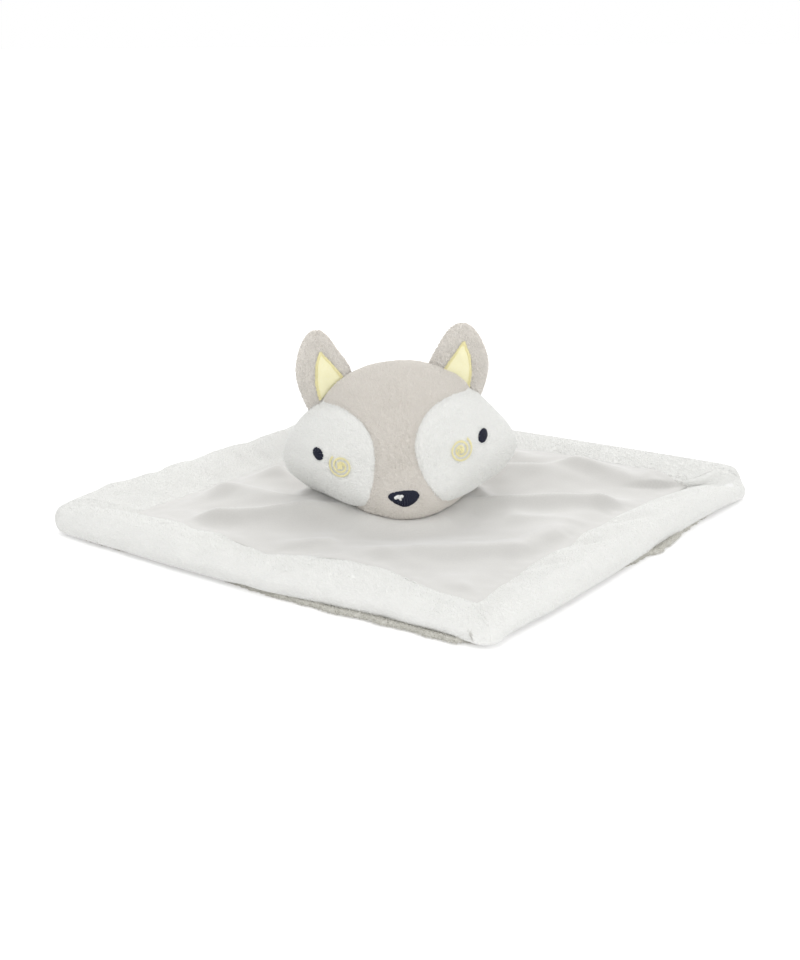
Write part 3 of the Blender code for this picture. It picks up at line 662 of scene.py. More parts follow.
one_tuft = new_node(pile, "GeometryNodeObjectInfo", {"Object": tuft}).outputs["Geometry"]
spot = new_node(pile, "GeometryNodeInputPosition").outputs[0]
up = new_node(pile, "ShaderNodeSeparateXYZ", {0: spot}).outputs["Z"]
shaped = stored(stored(one_tuft, "tip", up), "aside", spot, kind="FLOAT_VECTOR")
planted = new_node(
    pile,
    "GeometryNodeInstanceOnPoints",
    {
        "Points": roots["Points"],
        "Instance": shaped,
        "Rotation": turned.outputs[0],
        "Scale": size.outputs[0],
    },
)
toned = stored(planted.outputs[0], "tone", random_value(0.0, 1.0, 4), "INSTANCE")
real = new_node(pile, "GeometryNodeRealizeInstances", {"Geometry": toned}).outputs[0]
on_map = vector_of(
    pile, "MULTIPLY_ADD", {0: kept_vector("aside"), 1: ON_MAP, 2: kept_vector("OFBake")}
)
mapped = stored(real, "OFBake", on_map, "CORNER", "FLOAT2")
cleaned = new_node(pile, "GeometryNodeRemoveAttribute", {"Geometry": mapped, "Name": "aside"})
dyed = new_node(
    pile,
    "GeometryNodeSetMaterial",
    {"Geometry": cleaned.outputs[0], "Material": cloth["Material"]},
)
together = new_node(pile, "GeometryNodeJoinGeometry")
pile.links.new(dyed.outputs[0], together.inputs[0])
pile.links.new(cloth["Geometry"], together.inputs[0])
new_node(pile, "NodeGroupOutput", {0: together.outputs[0]})
print("nodes in the pile:", len(pile.nodes))

# %% Growing it on a piece
PILE_DENSITY, PILE_LENGTH, PILE_WIDTH = 3.2e6, 0.0009, 0.0006


def inputs_of(group):
    """A modifier's keys for a group's inputs."""
    return {s.name: s.identifier for s in group.interface.items_tree if s.in_out == "INPUT"}


def add_uv_map(piece):
    unwrap = {"angle_limit": math.radians(66), "island_margin": 0.01}
    edit_mesh(piece, (bpy.ops.uv.smart_project, unwrap))
    piece.data.uv_layers.active.name = "OFBake"


def grow_pile(piece, material, nap_from, seed=0, nap=1.5, scatter=0.25, scale=1.0, long=1.0):
    """Sets tufts on the outside of a piece of cloth, and makes them part of its mesh."""
    add_uv_map(piece)
    modifier = piece.modifiers.new("pile", "NODES")
    modifier.node_group = pile
    values = {
        "Tufts per m2": PILE_DENSITY / scale**2,
        "Length": PILE_LENGTH * scale * long,
        "Width": PILE_WIDTH * scale,
        "Nap From": nap_from,
        "Nap": nap,
        "Scatter": scatter,
        "Seed": seed,
        "Material": material,
    }
    for name, key in inputs_of(pile).items():
        if name in values:
            modifier[key] = values[name]
    bpy.ops.object.modifier_apply(modifier=modifier.name)
    piece.data.calc_loop_triangles()
    print(piece.name, "has", len(piece.data.loop_triangles), "triangles")
    return piece


print("tufts per square millimetre:", round(PILE_DENSITY * MM**2, 1))

# %% [markdown]
# ## Laying threads
#
# Seams and embroidery are rows of real threads. Curves could be drawn one by one. A grid primitive
# is shorter: it gives the points, one row of it for each thread, and geometry nodes turn each row
# into a round thread with closed ends.

# %% Threads as geometry nodes
threads = bpy.data.node_groups.new("threads", "GeometryNodeTree")
socket_of(threads, "Geometry", "INPUT", "NodeSocketGeometry")
socket_of(threads, "Radius", "INPUT", FLOAT)
socket_of(threads, "Sides", "INPUT", "NodeSocketInt")
socket_of(threads, "Geometry", "OUTPUT", "NodeSocketGeometry")
given = new_node(threads, "NodeGroupInput").outputs
ends = new_node(threads, "GeometryNodeInputMeshEdgeVertices").outputs
# Along a row, neighbours differ by one in the grid's numbering
apart = computed(threads, "SUBTRACT", ends["Vertex Index 1"], ends["Vertex Index 2"])
in_row = computed(threads, "LESS_THAN", computed(threads, "ABSOLUTE", apart), 1.5)
lines = new_node(
    threads, "GeometryNodeMeshToCurve", {"Mesh": given["Geometry"], "Selection": in_row}
)
profile = new_node(
    threads,
    "GeometryNodeCurvePrimitiveCircle",
    {"Resolution": given["Sides"], "Radius": given["Radius"]},
)
tubes = new_node(
    threads,
    "GeometryNodeCurveToMesh",
    {"Curve": lines.outputs[0], "Profile Curve": profile.outputs[0], "Fill Caps": True},
)
new_node(threads, "NodeGroupOutput", {0: tubes.outputs[0]})
print("nodes for threads:", len(threads.nodes))

# %% Laying them, and handing a piece over


def smooth_and_dye(piece, material):
    """Shades a piece smoothly and gives it its only material."""
    pick(piece)
    bpy.ops.object.shade_smooth()
    piece.data.materials.clear()
    piece.data.materials.append(material)
    return piece


def lay_threads(name, paths, radius, material, sides=6):
    """One mesh of threads. paths has a row of places for each thread."""
    paths = np.asarray(paths, float)
    count, along = paths.shape[:2]
    bpy.ops.mesh.primitive_grid_add(x_subdivisions=along - 1, y_subdivisions=count - 1, size=1)
    piece = place_applied(added(name))
    move_points(piece, paths.reshape(-1, 3))
    modifier = piece.modifiers.new("threads", "NODES")
    modifier.node_group = threads
    keys = inputs_of(threads)
    modifier[keys["Radius"]] = radius
    modifier[keys["Sides"]] = sides
    bpy.ops.object.modifier_apply(modifier=modifier.name)
    edit_mesh(piece, OUTWARD)
    smooth_and_dye(piece, material)
    print(name, "has", count, "threads")
    return piece


def dress(piece, body, slot, *nodes):
    if isinstance(body, str):
        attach(piece, body)
    else:
        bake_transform(piece)
    if nodes:
        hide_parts(*nodes)
    return piece


# %% [markdown]
# ## Blanket: where everything lies
#
# The blanket is a square of 260 mm with rounded corners, seen corner first. A place on it is named
# by its corner, its share of the way to the next corner, and its inset from the edge. A plain
# square could be shaped and bent afterwards. Here each place is worked out first, so that the
# border, the seams, the backing and the panel all agree on it.

# %% Sizes of the blanket
SIDE = 0.260
HALF_SIDE = SIDE / 2
INNER_CORNER_RADIUS = 0.0010
BORDER_WIDTH = 0.031
BORDER_CROWN = 0.0125
CROWN_INSET = 0.0095
WIDEST_HEIGHT = 0.0060
SEAM_HEIGHT = 0.0056
CLOTH_TOP = 0.0023  # where the border rests on the backing
PANEL_TOP = 0.0043
PLUSH_LENGTH = 0.0012
CORNER_RADII = (0.020, 0.015, 0.011, 0.024)  # back, left, near and right corner


def edge_places(corner, along, inset):
    """Places at an inset from the blanket's edge, from one corner's start to the next one's."""
    along, inset = np.asarray(along, float), np.asarray(inset, float)
    radius = np.maximum(CORNER_RADII[corner] - inset, INNER_CORNER_RADIUS)
    next_radius = np.maximum(CORNER_RADII[(corner + 1) % 4] - inset, INNER_CORNER_RADIUS)
    half = HALF_SIDE - inset
    angle = np.pi * np.minimum(along, 0.5)
    run = np.clip(2 * along - 1, 0, 1)
    start, end = half - radius, -(half - next_radius)
    x = np.where(along <= 0.5, start + radius * np.cos(angle), start + (end - start) * run)
    y = np.where(along <= 0.5, start + radius * np.sin(angle), half)
    turn = math.radians(90 * corner + 45)
    return x * math.cos(turn) - y * math.sin(turn), x * math.sin(turn) + y * math.cos(turn)


def way_round(x, y):
    """How far round the blanket a place is, in half sides: 0 at the near corner, 2 at the right."""
    reach = HALF_SIDE * math.sqrt(2)
    right = (x + y + reach) / math.sqrt(2)
    left = (-x + y + reach) / math.sqrt(2)
    whole = 2 * HALF_SIDE
    from_sides = np.array((left, whole - right, whole - left, right))
    rounds = np.array((right, whole + left, 3 * whole - right, 4 * whole - left)) / HALF_SIDE
    return np.take_along_axis(rounds, from_sides.argmin(axis=0)[None], axis=0)[0] % 8


print("blanket:", SIDE / MM, "mm wide, border", BORDER_WIDTH / MM, "mm")

# %% [markdown]
# Soft cloth is never quite square. The two lists were read from the photo, at places round
# the blanket counted in half sides. The first says how far the edge lies out of true, and how much
# taller the border is. The second says how far the inner seam lies inwards, and how far up. Both
# are in millimetres.

# %% How the border lies out of true
OUT_OF_TRUE = (
    (0, 3.5, 0.0), (0.12, 2.0, 0.0), (0.3, 4.0, 0.0), (0.45, 5.0, 0.0), (0.7, 4.8, 0.0),
    (0.95, 4.6, 0.2), (1.15, 3.9, 0.3), (1.4, 3.2, 0.0), (1.6, 2.8, -1.6), (1.75, 2.7, -2.6),
    (1.85, 2.8, -1.8), (1.92, 2.9, 0.8), (2.08, 2.8, 3.4), (2.16, 2.4, 7.4), (2.28, 1.6, 9.8),
    (2.4, 1.0, 10.2), (2.54, 0.6, 8.0), (2.68, 0.3, 5.6), (2.82, 0.3, 3.6), (3.2, 0.2, 2.0),
    (4.0, 0.0, 0.3), (4.9, 0.0, -0.6), (5.4, 0.2, 0.6), (5.7, -0.8, 3.0), (5.88, -3.4, 3.8),
    (5.99, -3.4, 4.2), (6.01, 4.6, 4.2), (6.12, 7.0, 3.6), (6.3, 9.0, 2.8), (6.6, 10.2, 1.2),
    (7.0, 10.8, 0.5), (7.15, 11.0, 1.5), (7.3, 9.0, 2.0), (7.5, 6.4, 1.0), (7.7, 4.2, 0.2),
    (8.0, 3.5, 0.0),
)
TRUE_AT, TRUE_OUT, TRUE_TALL = np.array(OUT_OF_TRUE).T * ((1,), (MM,), (MM,))
INNER_SEAM = (
    (0, -3.2, 0), (0.23, -1.2, 0), (0.33, 1.5, 0), (0.48, 4.2, 0), (0.6, 6.6, 0.2),
    (0.82, 5.6, 0.2), (0.95, 5.6, 0.6), (1.05, 6.4, 1.0), (1.19, 4.9, 0.8), (1.3, 5.3, 1.0),
    (1.4, 4.4, 0.8), (1.52, 2.2, 0.4), (1.65, 0.6, 0.2), (1.8, 0.3, 0.2), (1.92, 0, 1.0),
    (2.08, 0, 1.8), (2.15, 0, 4.4), (2.24, 0, 6.6), (2.3, 0, 5.5), (2.7, 0, 5.5), (3.1, 0, 3.5),
    (3.5, 0, 1.5), (4.0, 0, 0.5), (4.6, 0, 0), (5.2, 2.0, 0.5), (5.7, 2.2, 1.0),
    (5.99, -1.0, 1.4), (6.01, 4.0, 1.4), (6.3, 7.4, 1.8), (6.45, 9.4, 2.2), (6.52, 8.8, 2.2),
    (6.59, 6.3, 1.8), (6.67, 9.9, 2.0), (6.74, 7.7, 1.6), (6.83, 6.6, 1.0), (6.9, 5.3, 0.6),
    (6.95, 3.8, 0.4), (7.01, 7.6, 1.2), (7.07, 8.2, 1.6), (7.14, 10.7, 2.6), (7.23, 12.2, 3.6),
    (7.33, 11.6, 3.8), (7.47, 9.9, 3.4), (7.57, 7.1, 2.0), (7.65, 4.8, 1.0), (7.8, 4.4, 0.6),
    (8.0, 3.0, 0.2),
)
SEAM_AT, SEAM_IN, SEAM_UP = np.array(INNER_SEAM).T * ((1,), (MM,), (MM,))
# Where the backing shows below the border, and by how much: half sides round and millimetres
BACKING_SHOWS = (
    (0, 2.5), (0.10, 0.5), (0.22, -3.0), (0.80, -3.0), (1.0, 0.5), (1.12, 3.5), (1.25, 2.6),
    (1.36, -0.5), (1.5, -1.5), (1.8, -2.0), (2.1, -3.0), (3.0, 0.0), (5.0, 0.0), (6.0, -2.0),
    (6.9, -3.0), (7.05, 0.2), (7.28, 1.8), (7.47, 3.8), (7.66, 3.2), (7.81, 4.6), (7.93, 4.8),
    (8.0, 2.5),
)
SHOWS_AT, SHOWS_BY = np.array(BACKING_SHOWS).T
print("out of true by at most", round(TRUE_OUT.max() / MM, 1), "mm")

# %% Moving places to where the soft cloth has them
SIDE_WAYS = np.array(((1, -1), (1, 1), (-1, 1), (-1, -1))) / math.sqrt(2)
DRIFT_START = 0.30  # the share of a half side from which the cloth is out of true
SEAM_SHARE = 1 - BORDER_WIDTH / HALF_SIDE
CROWN_SHARE = 1 - CROWN_INSET / HALF_SIDE


def drift(x, y):
    """Moves places on the blanket to where the soft cloth has them."""
    a, b = (x + y) / math.sqrt(2), (y - x) / math.sqrt(2)
    outs = np.array((-b, a, b, -a)) / HALF_SIDE
    moved_x, moved_y = np.array(x, float), np.array(y, float)
    along = np.array((a, b, -a, -b)) / HALF_SIDE
    for side in range(4):
        out = outs[side]
        place = (2 * side + 1 + np.clip(along[side], -1, 1)) % 8
        amount = np.interp(place, TRUE_AT, TRUE_OUT) * smooth_step((out - DRIFT_START) / 0.55)
        by_seam = smooth_step((out - DRIFT_START) / (SEAM_SHARE - DRIFT_START))
        by_seam = by_seam * (1 - smooth_step((out - SEAM_SHARE) / (CROWN_SHARE - SEAM_SHARE)))
        amount = amount - np.interp(place, SEAM_AT, SEAM_IN) * by_seam
        moved_x += SIDE_WAYS[side][0] * amount
        moved_y += SIDE_WAYS[side][1] * amount
    return moved_x, moved_y


near_x, near_y = drift(*edge_places(2, 0.25, np.zeros(1)))
print("near corner at", [round(float(v[0]) / MM, 1) for v in (near_x, near_y)], "mm")

# %% [markdown]
# ## Border
#
# The border is four padded strips of plush. A row of beams with rounded edges could stand for them,
# but a torus primitive already has the right net of faces: round the blanket one way and round the
# strip the other. Its points are moved to the rounded square, and then the cloth simulation puffs
# it up between its seams, which stay pinned, as real stuffing does.
#
# Where the panel's thread pulls on the plush, the strip puckers. The puckers that the photo shows
# are listed: how far round the border in half sides from its near corner (to the left
# below zero), how deep and how wide in millimetres, and how far it slants. Random ones follow
# where the photo shows none.

# %% Puckers along the border
HAND_PUCKERS = (
    (0.32, 1.2, 5.0, 8),
    (0.52, 3.2, 5.5, 12),
    (0.78, 3.4, 5.5, 12),
    (1.10, 2.8, 5.5, 10),
    (1.45, 2.4, 5.5, 6),
    (1.75, 1.4, 6.0, 3),
    (-0.40, 0.8, 6.0, -3),
    (-0.80, 1.2, 7.0, -4),
    (-1.05, 3.4, 5.0, -6),
    (-1.18, 1.5, 5.0, -8),
    (-1.50, 1.8, 5.0, -4),
    (-1.76, 1.7, 6.0, 2),
)
HAND_REACH = 1.95  # half sides, both ways, that the list covers
PUCKER_GAIN = 1.25
rng = np.random.default_rng(11)


def border_puckers():
    """(place round the border in metres from the near corner, depth, width, slant) of each one."""
    found = [tuple(np.array(one) * (HALF_SIDE, MM, MM, MM)) for one in HAND_PUCKERS]
    place = HAND_REACH * HALF_SIDE
    while place < 8 * HALF_SIDE - HAND_REACH * HALF_SIDE:
        deep, wide = rng.uniform(0.6, 1.6) * MM, rng.uniform(5, 8) * MM
        found.append((place, deep, wide, rng.uniform(-6, 6) * MM))
        place += rng.uniform(16, 34) * MM
    return found


PUCKERS = border_puckers()


def pucker_depth(round_place, share):
    """How far the border is drawn in. share is 0 at the inner seam and 1 at the crown."""
    depth = np.zeros_like(round_place)
    whole = 8 * HALF_SIDE
    along = smooth_step(share / 0.22) * np.clip(1 - share, 0, 1) ** 0.9
    for place, deep, wide, slant in PUCKERS:
        away = (round_place - place - slant * share + whole / 2) % whole - whole / 2
        depth += PUCKER_GAIN * deep * np.exp(-((away / wide) ** 2)) * along
    return depth


print("puckers:", len(PUCKERS))

# %% [markdown]
# A strip is a plump roll. A round section would stand too high, so this one rises steeply on its
# outer side, falls gently from the crown to the inner seam, and lies flat on the backing.

# %% The strip's section
OUTER_POINTS = 10  # up the outer side to the crown
INNER_POINTS = 8  # down from the crown to the seam
UNDER_POINTS = 7  # back along the backing
UNDER_TO = CROWN_INSET * 0.6


def border_section(under):
    """The strip's closed section as (inset, height, share from seam to crown)."""
    side = CROWN_INSET - under
    rise = BORDER_CROWN - WIDEST_HEIGHT - under
    drop = BORDER_CROWN - SEAM_HEIGHT
    inner = BORDER_WIDTH - 0.0006
    points = []
    for angle in np.radians(np.linspace(-52, 90, OUTER_POINTS)):
        height = WIDEST_HEIGHT + rise * math.sin(angle)
        points.append((CROWN_INSET - side * math.cos(angle), height, 1))
    for step in np.linspace(0, 1, INNER_POINTS + 1)[1:]:
        inset = CROWN_INSET + (inner - CROWN_INSET) * step
        height = SEAM_HEIGHT + drop * (0.5 + 0.5 * math.cos(math.pi * step)) - under
        points.append((inset, height, 1 - step))
    points.append((inner - 0.0002, CLOTH_TOP + 0.0008, 0))
    for step in np.linspace(0, 1, UNDER_POINTS):
        points.append((inner - 0.0012 + (UNDER_TO - inner) * step, CLOTH_TOP + 0.0002, 1))
    return np.array(points)


section = border_section(PLUSH_LENGTH)
print("points in the section:", len(section))

# %% How high the strip stands at each place
MITRE_REACH = 0.014
DROOP = 0.0010


def noise_round(turn, scale, up=0):
    """Soft noise that closes up once round the blanket."""
    angle = turn * math.pi / 4
    return noise(Vector((math.cos(angle), math.sin(angle), 0)) * scale + Vector((0, 0, up)))


def mitre_fill(turn, share):
    """How far the hollow along a corner's mitre is filled. The right corner keeps its own form."""
    full = 0.8 - 0.8 * math.exp(-(((turn - 2) / 0.4) ** 2))
    from_mitre = abs((turn + 1) % 2 - 1) * HALF_SIDE
    return full * math.exp(-((from_mitre / MITRE_REACH) ** 2)) * smooth_step(share / 0.4)


def heights_at(turn, under):
    """The heights of the section's points at one place round the border."""
    inset, height, share = section.T
    top = height > CLOTH_TOP + 0.001
    sunk = pucker_depth(np.full(len(inset), turn * HALF_SIDE), share)
    swell = 0.0012 * noise_round(turn, 7) + 0.0006 * noise_round(turn, 22)
    swell += float(np.interp(turn, TRUE_AT, TRUE_TALL))
    lift = np.where(top, swell * np.clip((height - 0.0035) / (BORDER_CROWN - 0.0035), 0, 1), 0)
    seam_up = float(np.interp(turn, SEAM_AT, SEAM_UP)) * (1 - share) * top
    z = height - np.where(top, sunk, 0) + lift + seam_up
    z = np.where(top & (share < 1), np.maximum(z, PANEL_TOP + seam_up - 0.0002), z)
    filled = mitre_fill(turn, share) * top
    z = z + np.where(share < 1, filled * (BORDER_CROWN - under + lift.max() - z), 0)
    # Where no backing shows, the strip's outer side droops nearly to the table
    hidden = float(np.clip(-np.interp(turn, SHOWS_AT, SHOWS_BY) / 2, 0, 1))
    low = np.clip((WIDEST_HEIGHT - height) / 0.004, 0, 1) * (inset < CROWN_INSET)
    low[OUTER_POINTS:] = 0
    return z - DROOP * hidden * low


print("crown on the near right side:", round(heights_at(1, PLUSH_LENGTH).max() / MM, 1), "mm")

# %% Border, shaped from a torus
ARC_STEPS, SIDE_STEPS = 12, 70


def make_border_ring(under):
    """The four strips in one, on the net of a torus."""
    inset, _, share = section.T
    steps = [0.5 * k / ARC_STEPS for k in range(ARC_STEPS)]
    steps += [0.5 + 0.5 * k / SIDE_STEPS for k in range(SIDE_STEPS)]
    bpy.ops.mesh.primitive_torus_add(
        major_segments=4 * len(steps),
        minor_segments=len(section),
        major_radius=HALF_SIDE,
        minor_radius=BORDER_WIDTH / 4,
    )
    ring = place_applied(added("border"))
    places = []
    for corner in range(4):
        for along in steps:
            crown = edge_places(corner, along, np.full(1, CROWN_INSET))
            turn = float(way_round(*crown)[0])
            wave = 0.0016 * noise_round(turn, 9, 3) * (1 - share)
            wave += 0.0008 * noise_round(turn, 26, 5) * (1 - share)
            x, y = drift(*edge_places(corner, along, inset + wave))
            places += list(zip(x, y, heights_at(turn, under)))
    return edit_mesh(move_points(ring, places), OUTWARD)


border_ring = make_border_ring(PLUSH_LENGTH)
lowest = round(points_of(border_ring)[:, 2].min() / MM, 2)
print("border ring:", len(border_ring.data.vertices), "points, lowest", lowest, "mm")

# %% [markdown]
# ## Puffing a piece up
#
# Filling pushes a cover outwards between its seams. The cloth simulation does that with air
# pressure on a closed mesh. A stuffed toy's cover can't balloon, so the steps of neighbouring
# points are evened out, and each piece has a limit of one to three millimetres for every point.

# %% Evening out steps


def evened(piece, steps, times):
    """Spreads the steps of neighbouring points, so that only soft wrinkles are left."""
    edges = np.empty(len(piece.data.edges) * 2, np.int64)
    piece.data.edges.foreach_get("vertices", edges)
    edges = edges.reshape(-1, 2)
    count = np.bincount(edges.ravel(), minlength=len(steps))[:, None]
    for _ in range(times):
        around = np.zeros_like(steps)
        np.add.at(around, edges[:, 0], steps[edges[:, 1]])
        np.add.at(around, edges[:, 1], steps[edges[:, 0]])
        steps = (steps + around / np.maximum(count, 1)) / 2
    return steps


print("edges of the ring:", len(border_ring.data.edges))

# %% Cloth with air inside
CLOTH_FEEL = {
    "quality": 5,
    "mass": 0.2,
    "tension_stiffness": 12,
    "compression_stiffness": 8,
    "shear_stiffness": 4,
    "bending_stiffness": 0.3,
    "use_pressure": True,
    "uniform_pressure_force": 4,
    "vertex_group_mass": "seams",
}
EVENED_TIMES = 6


def run_cloth(piece, frames, growth):
    """Runs the cloth simulation and applies what it ends with."""
    pick(piece)
    modifier = piece.modifiers.new("cloth", "CLOTH")
    for key, value in CLOTH_FEEL.items():
        setattr(modifier.settings, key, value)
    modifier.settings.shrink_min = -growth
    modifier.settings.effector_weights.gravity = 0
    modifier.collision_settings.use_collision = False
    modifier.point_cache.frame_start = 1
    modifier.point_cache.frame_end = frames
    for number in range(1, frames + 1):
        bpy.context.scene.frame_set(number)
    bpy.ops.object.modifier_apply(modifier=modifier.name)
    bpy.context.scene.frame_set(1)


def puff_up(piece, pins, frames, most, growth):
    """Puffs a piece up. pins holds the seams, and no point moves more than most."""
    before = points_of(piece)
    group = piece.vertex_groups.new(name="seams")
    for number, weight in enumerate(pins):
        if weight > 0:
            group.add([number], float(weight), "REPLACE")
    run_cloth(piece, frames, growth)
    step = evened(piece, points_of(piece) - before, EVENED_TIMES)
    far = np.linalg.norm(step, axis=1, keepdims=True)
    print(piece.name, "moved at most", round(far.max() / MM, 2), "mm")
    move_points(piece, before + step * np.minimum(1, most / np.maximum(far, 1e-9)))
    piece.vertex_groups.clear()
    return piece


print("cloth quality:", CLOTH_FEEL["quality"])

# %% Puffing the border
FIRST_HELD = OUTER_POINTS + INNER_POINTS - 1  # from the inner seam on, all along the backing

numbers = np.arange(len(border_ring.data.vertices)) % len(section)
held = (numbers >= FIRST_HELD) | (numbers == 0)
puff_up(border_ring, held * 1.0, 20, 0.0025, 0.03)
with_modifier(border_ring, "SUBSURF", levels=1, render_levels=1)
bpy.ops.object.shade_smooth()
print("border ring:", len(border_ring.data.vertices), "points")

# %% [markdown]
# ## Strips and mitres
#
# On the toy each side is a strip of its own, and the strips meet in mitres. Four strips could be
# shaped one by one, but then they would hardly meet. One ring, cut along both diagonals, gives
# four whose cuts match, and the pile is brushed along each of them.

# %% Cutting the ring
MITRE_GAP = 0.00006
QUARTERS = {
    "front_left": (-1, -1),
    "front_right": (1, -1),
    "back_left": (-1, 1),
    "back_right": (1, 1),
}


def quarter_of(ring, name, x_way, y_way):
    """The part of the ring in one quarter, closed where it is cut."""
    pick(ring)
    bpy.ops.object.duplicate()
    strip = added(name)
    bpy.ops.object.mode_set(mode="EDIT")
    for way in ((x_way, 0, 0), (0, y_way, 0)):
        bpy.ops.mesh.select_all(action="SELECT")
        bpy.ops.mesh.bisect(
            plane_co=Vector(way) * MITRE_GAP / 2, plane_no=way, clear_inner=True, use_fill=True
        )
    bpy.ops.object.mode_set(mode="OBJECT")
    return strip


def show_back_at_mitres(strip):
    """The cut faces show the fabric's back, where no pile grows."""
    strip.data.materials.append(white_plush)
    strip.data.materials.append(knit_back)
    for face in strip.data.polygons:
        at_mitre = max(abs(v) for v in face.normal[:2]) > 0.999
        if at_mitre and min(abs(v) for v in face.center[:2]) < MITRE_GAP:
            face.material_index = 1


print("quarters:", list(QUARTERS))

# %% Four strips of plush
for number, (quarter, (x_way, y_way)) in enumerate(QUARTERS.items()):
    strip = quarter_of(border_ring, f"border_strip_{quarter}", x_way, y_way)
    show_back_at_mitres(strip)
    write_values(strip, "bare", points_of(strip)[:, 2] < CLOTH_TOP + 0.0009)
    # Along the strip, away from the camera, so that the smooth side of the pile shows
    brushed_from = Vector((x_way * y_way, -1, 0.17)) * 3
    grow_pile(strip, white_plush, brushed_from, number, nap=2.0, scatter=0.15, long=0.85)
    dress(strip, "blanket", "white_plush", f"border_{quarter}")
bpy.data.objects.remove(border_ring)

# %% [markdown]
# ## Backing
#
# A second cloth of plush closes the blanket from below. In the photo only its fuzzy edge shows,
# under the near sides. A plain plate would end in a straight line there, so a grid is rounded,
# given a ragged rim that comes out only where the photo shows it, and thickened.

# %% The backing's outline
BACKING_SIDE = 0.2500
BACKING_THICKNESS = 0.0020
BACKING_CORNER = 0.022
BACKING_TOP = 0.0021
RIM_WIDTH = 0.012
EIGHTH = math.radians(45)


def rounded_square(x, y, half, radius):
    """Draws a square's points in near its corners, so that they come out round."""
    far = np.maximum(np.abs(x), np.abs(y))
    near = np.minimum(np.abs(x), np.abs(y))
    start = math.atan((half - radius) / half)
    angle = np.arctan(near / np.maximum(far, 1e-9))
    over = np.clip((angle - start) / (math.pi / 4 - start), 0, 1)
    reach_in = (half - (math.sqrt(2) - 1) * radius / math.sqrt(2)) / half
    squeeze = 1 - (1 - reach_in) * np.sin(over * math.pi / 2) ** 2
    factor = 1 - (1 - squeeze) * smooth_step((far / half - 0.5) / 0.5)
    return x * factor, y * factor


def flat_noises(x, y, scale, seed):
    """Soft noise over the blanket, with a pattern of its own for each seed."""
    return np.array([noise(Vector((u * scale, v * scale, seed))) for u, v in zip(x, y)])


def turned_by(x, y, angle):
    c, s = math.cos(angle), math.sin(angle)
    return x * c - y * s, x * s + y * c


bpy.ops.mesh.primitive_grid_add(x_subdivisions=96, y_subdivisions=96, size=BACKING_SIDE)
backing = place_applied(added("backing_cloth"))
a, b = points_of(backing)[:, :2].T
to_rim = BACKING_SIDE / 2 - np.maximum(np.abs(a), np.abs(b))
at_rim = smooth_step(1 - to_rim / RIM_WIDTH)
a, b = rounded_square(a, b, BACKING_SIDE / 2, BACKING_CORNER)
ripple = flat_noises(a, b, 26, 2)
finer = flat_noises(a, b, 90, 7)
x, y = turned_by(a, b, EIGHTH)
ragged = flat_noises(x, y, 190, 11)
shows = np.interp(way_round(x, y), SHOWS_AT, SHOWS_BY) * MM
grow = 1 + (shows + 0.0008 * ripple + 0.0014 * finer + 0.0012 * ragged) * at_rim / 0.125
rim_lift = at_rim * (0.0008 * np.clip(shows / 0.006, 0, 1) + 0.0004 * ripple)
x, y = drift(x * grow, y * grow)
move_points(backing, np.column_stack((x, y, BACKING_TOP + rim_lift)))
print("backing shows by at most", round(shows.max() / MM, 1), "mm")

# %% The backing's thickness and pile
with_modifier(backing, "SOLIDIFY", thickness=BACKING_THICKNESS, offset=-1)
with_modifier(backing, "BEVEL", width=0.0005, segments=2, limit_method="ANGLE")
smooth_and_dye(backing, backing_plush_painted_shade)
a, b = np.abs(turned_by(*points_of(backing)[:, :2].T, -EIGHTH))
write_values(backing, "bare", np.maximum(a, b) < BACKING_SIDE / 2 - 0.0030)
grow_pile(backing, backing_plush_painted_shade, (0, 0, 0), 21, nap=0.5, scatter=0.6, scale=1.3)
dress(backing, "blanket", "white_plush", "backing_panel")

# %% [markdown]
# ## Seams of the blanket
#
# One seam joins the border to the panel, and one runs round the outer edge. A smooth cord would
# look like piping. These are running stitches, so each is a short thread that arches over the
# cloth, with a gap before the next.

# %% Running stitches
STITCH = 0.0030
STITCH_PITCH = 0.0042
STITCH_RADIUS = 0.0003


def at_share(share, inset, whole):
    """The place at a share of the way round, counted in corners."""
    corner = int(share) % 4
    along = share - int(share)
    # The corner's arc takes its own share of the way round
    arc = (math.pi / 2 * max(CORNER_RADII[corner] - inset, 0.001)) / (whole / 4)
    split = 0.5 * along / arc if along < arc else 0.5 + 0.5 * (along - arc) / (1 - arc)
    return (np.full(1, v) for v in edge_places(corner, split, inset))


def seam_round(name, node, inset, height, arch, rises):
    """Running stitches round the blanket, at an inset from its edge."""
    whole = 8 * (HALF_SIDE - inset)
    count = int(whole / STITCH_PITCH)
    paths = []
    for number in range(count):
        path = []
        for share in np.linspace(-0.5, 0.5, 5):
            place = (number + 0.5 + share * STITCH / STITCH_PITCH) / count * 4
            x, y = at_share(place, inset, whole)
            up = float(np.interp(way_round(x, y), SEAM_AT, SEAM_UP)[0]) if rises else 0
            x, y = (float(v[0]) for v in drift(x, y))
            path.append((x, y, height + up + arch * (1 - 4 * share * share)))
        paths.append(path)
    seam = lay_threads(name, paths, STITCH_RADIUS, white_thread)
    return dress(seam, "blanket", "white_thread", node)


seam_round(
    "border_seam_stitches", "border_seam_thread", BORDER_WIDTH - 0.0018, 0.0034, 0.0005, True
)
seam_round("edge_seam_stitches", "edge_seam_thread", 0.0046, 0.0023, 0.0003, False)

# %% [markdown]
# Where the two near strips meet, a small wisp of fibres sticks out of the mitre. Each fibre starts
# where a needle from the front meets the left strip, beside the mitre, and curves up.

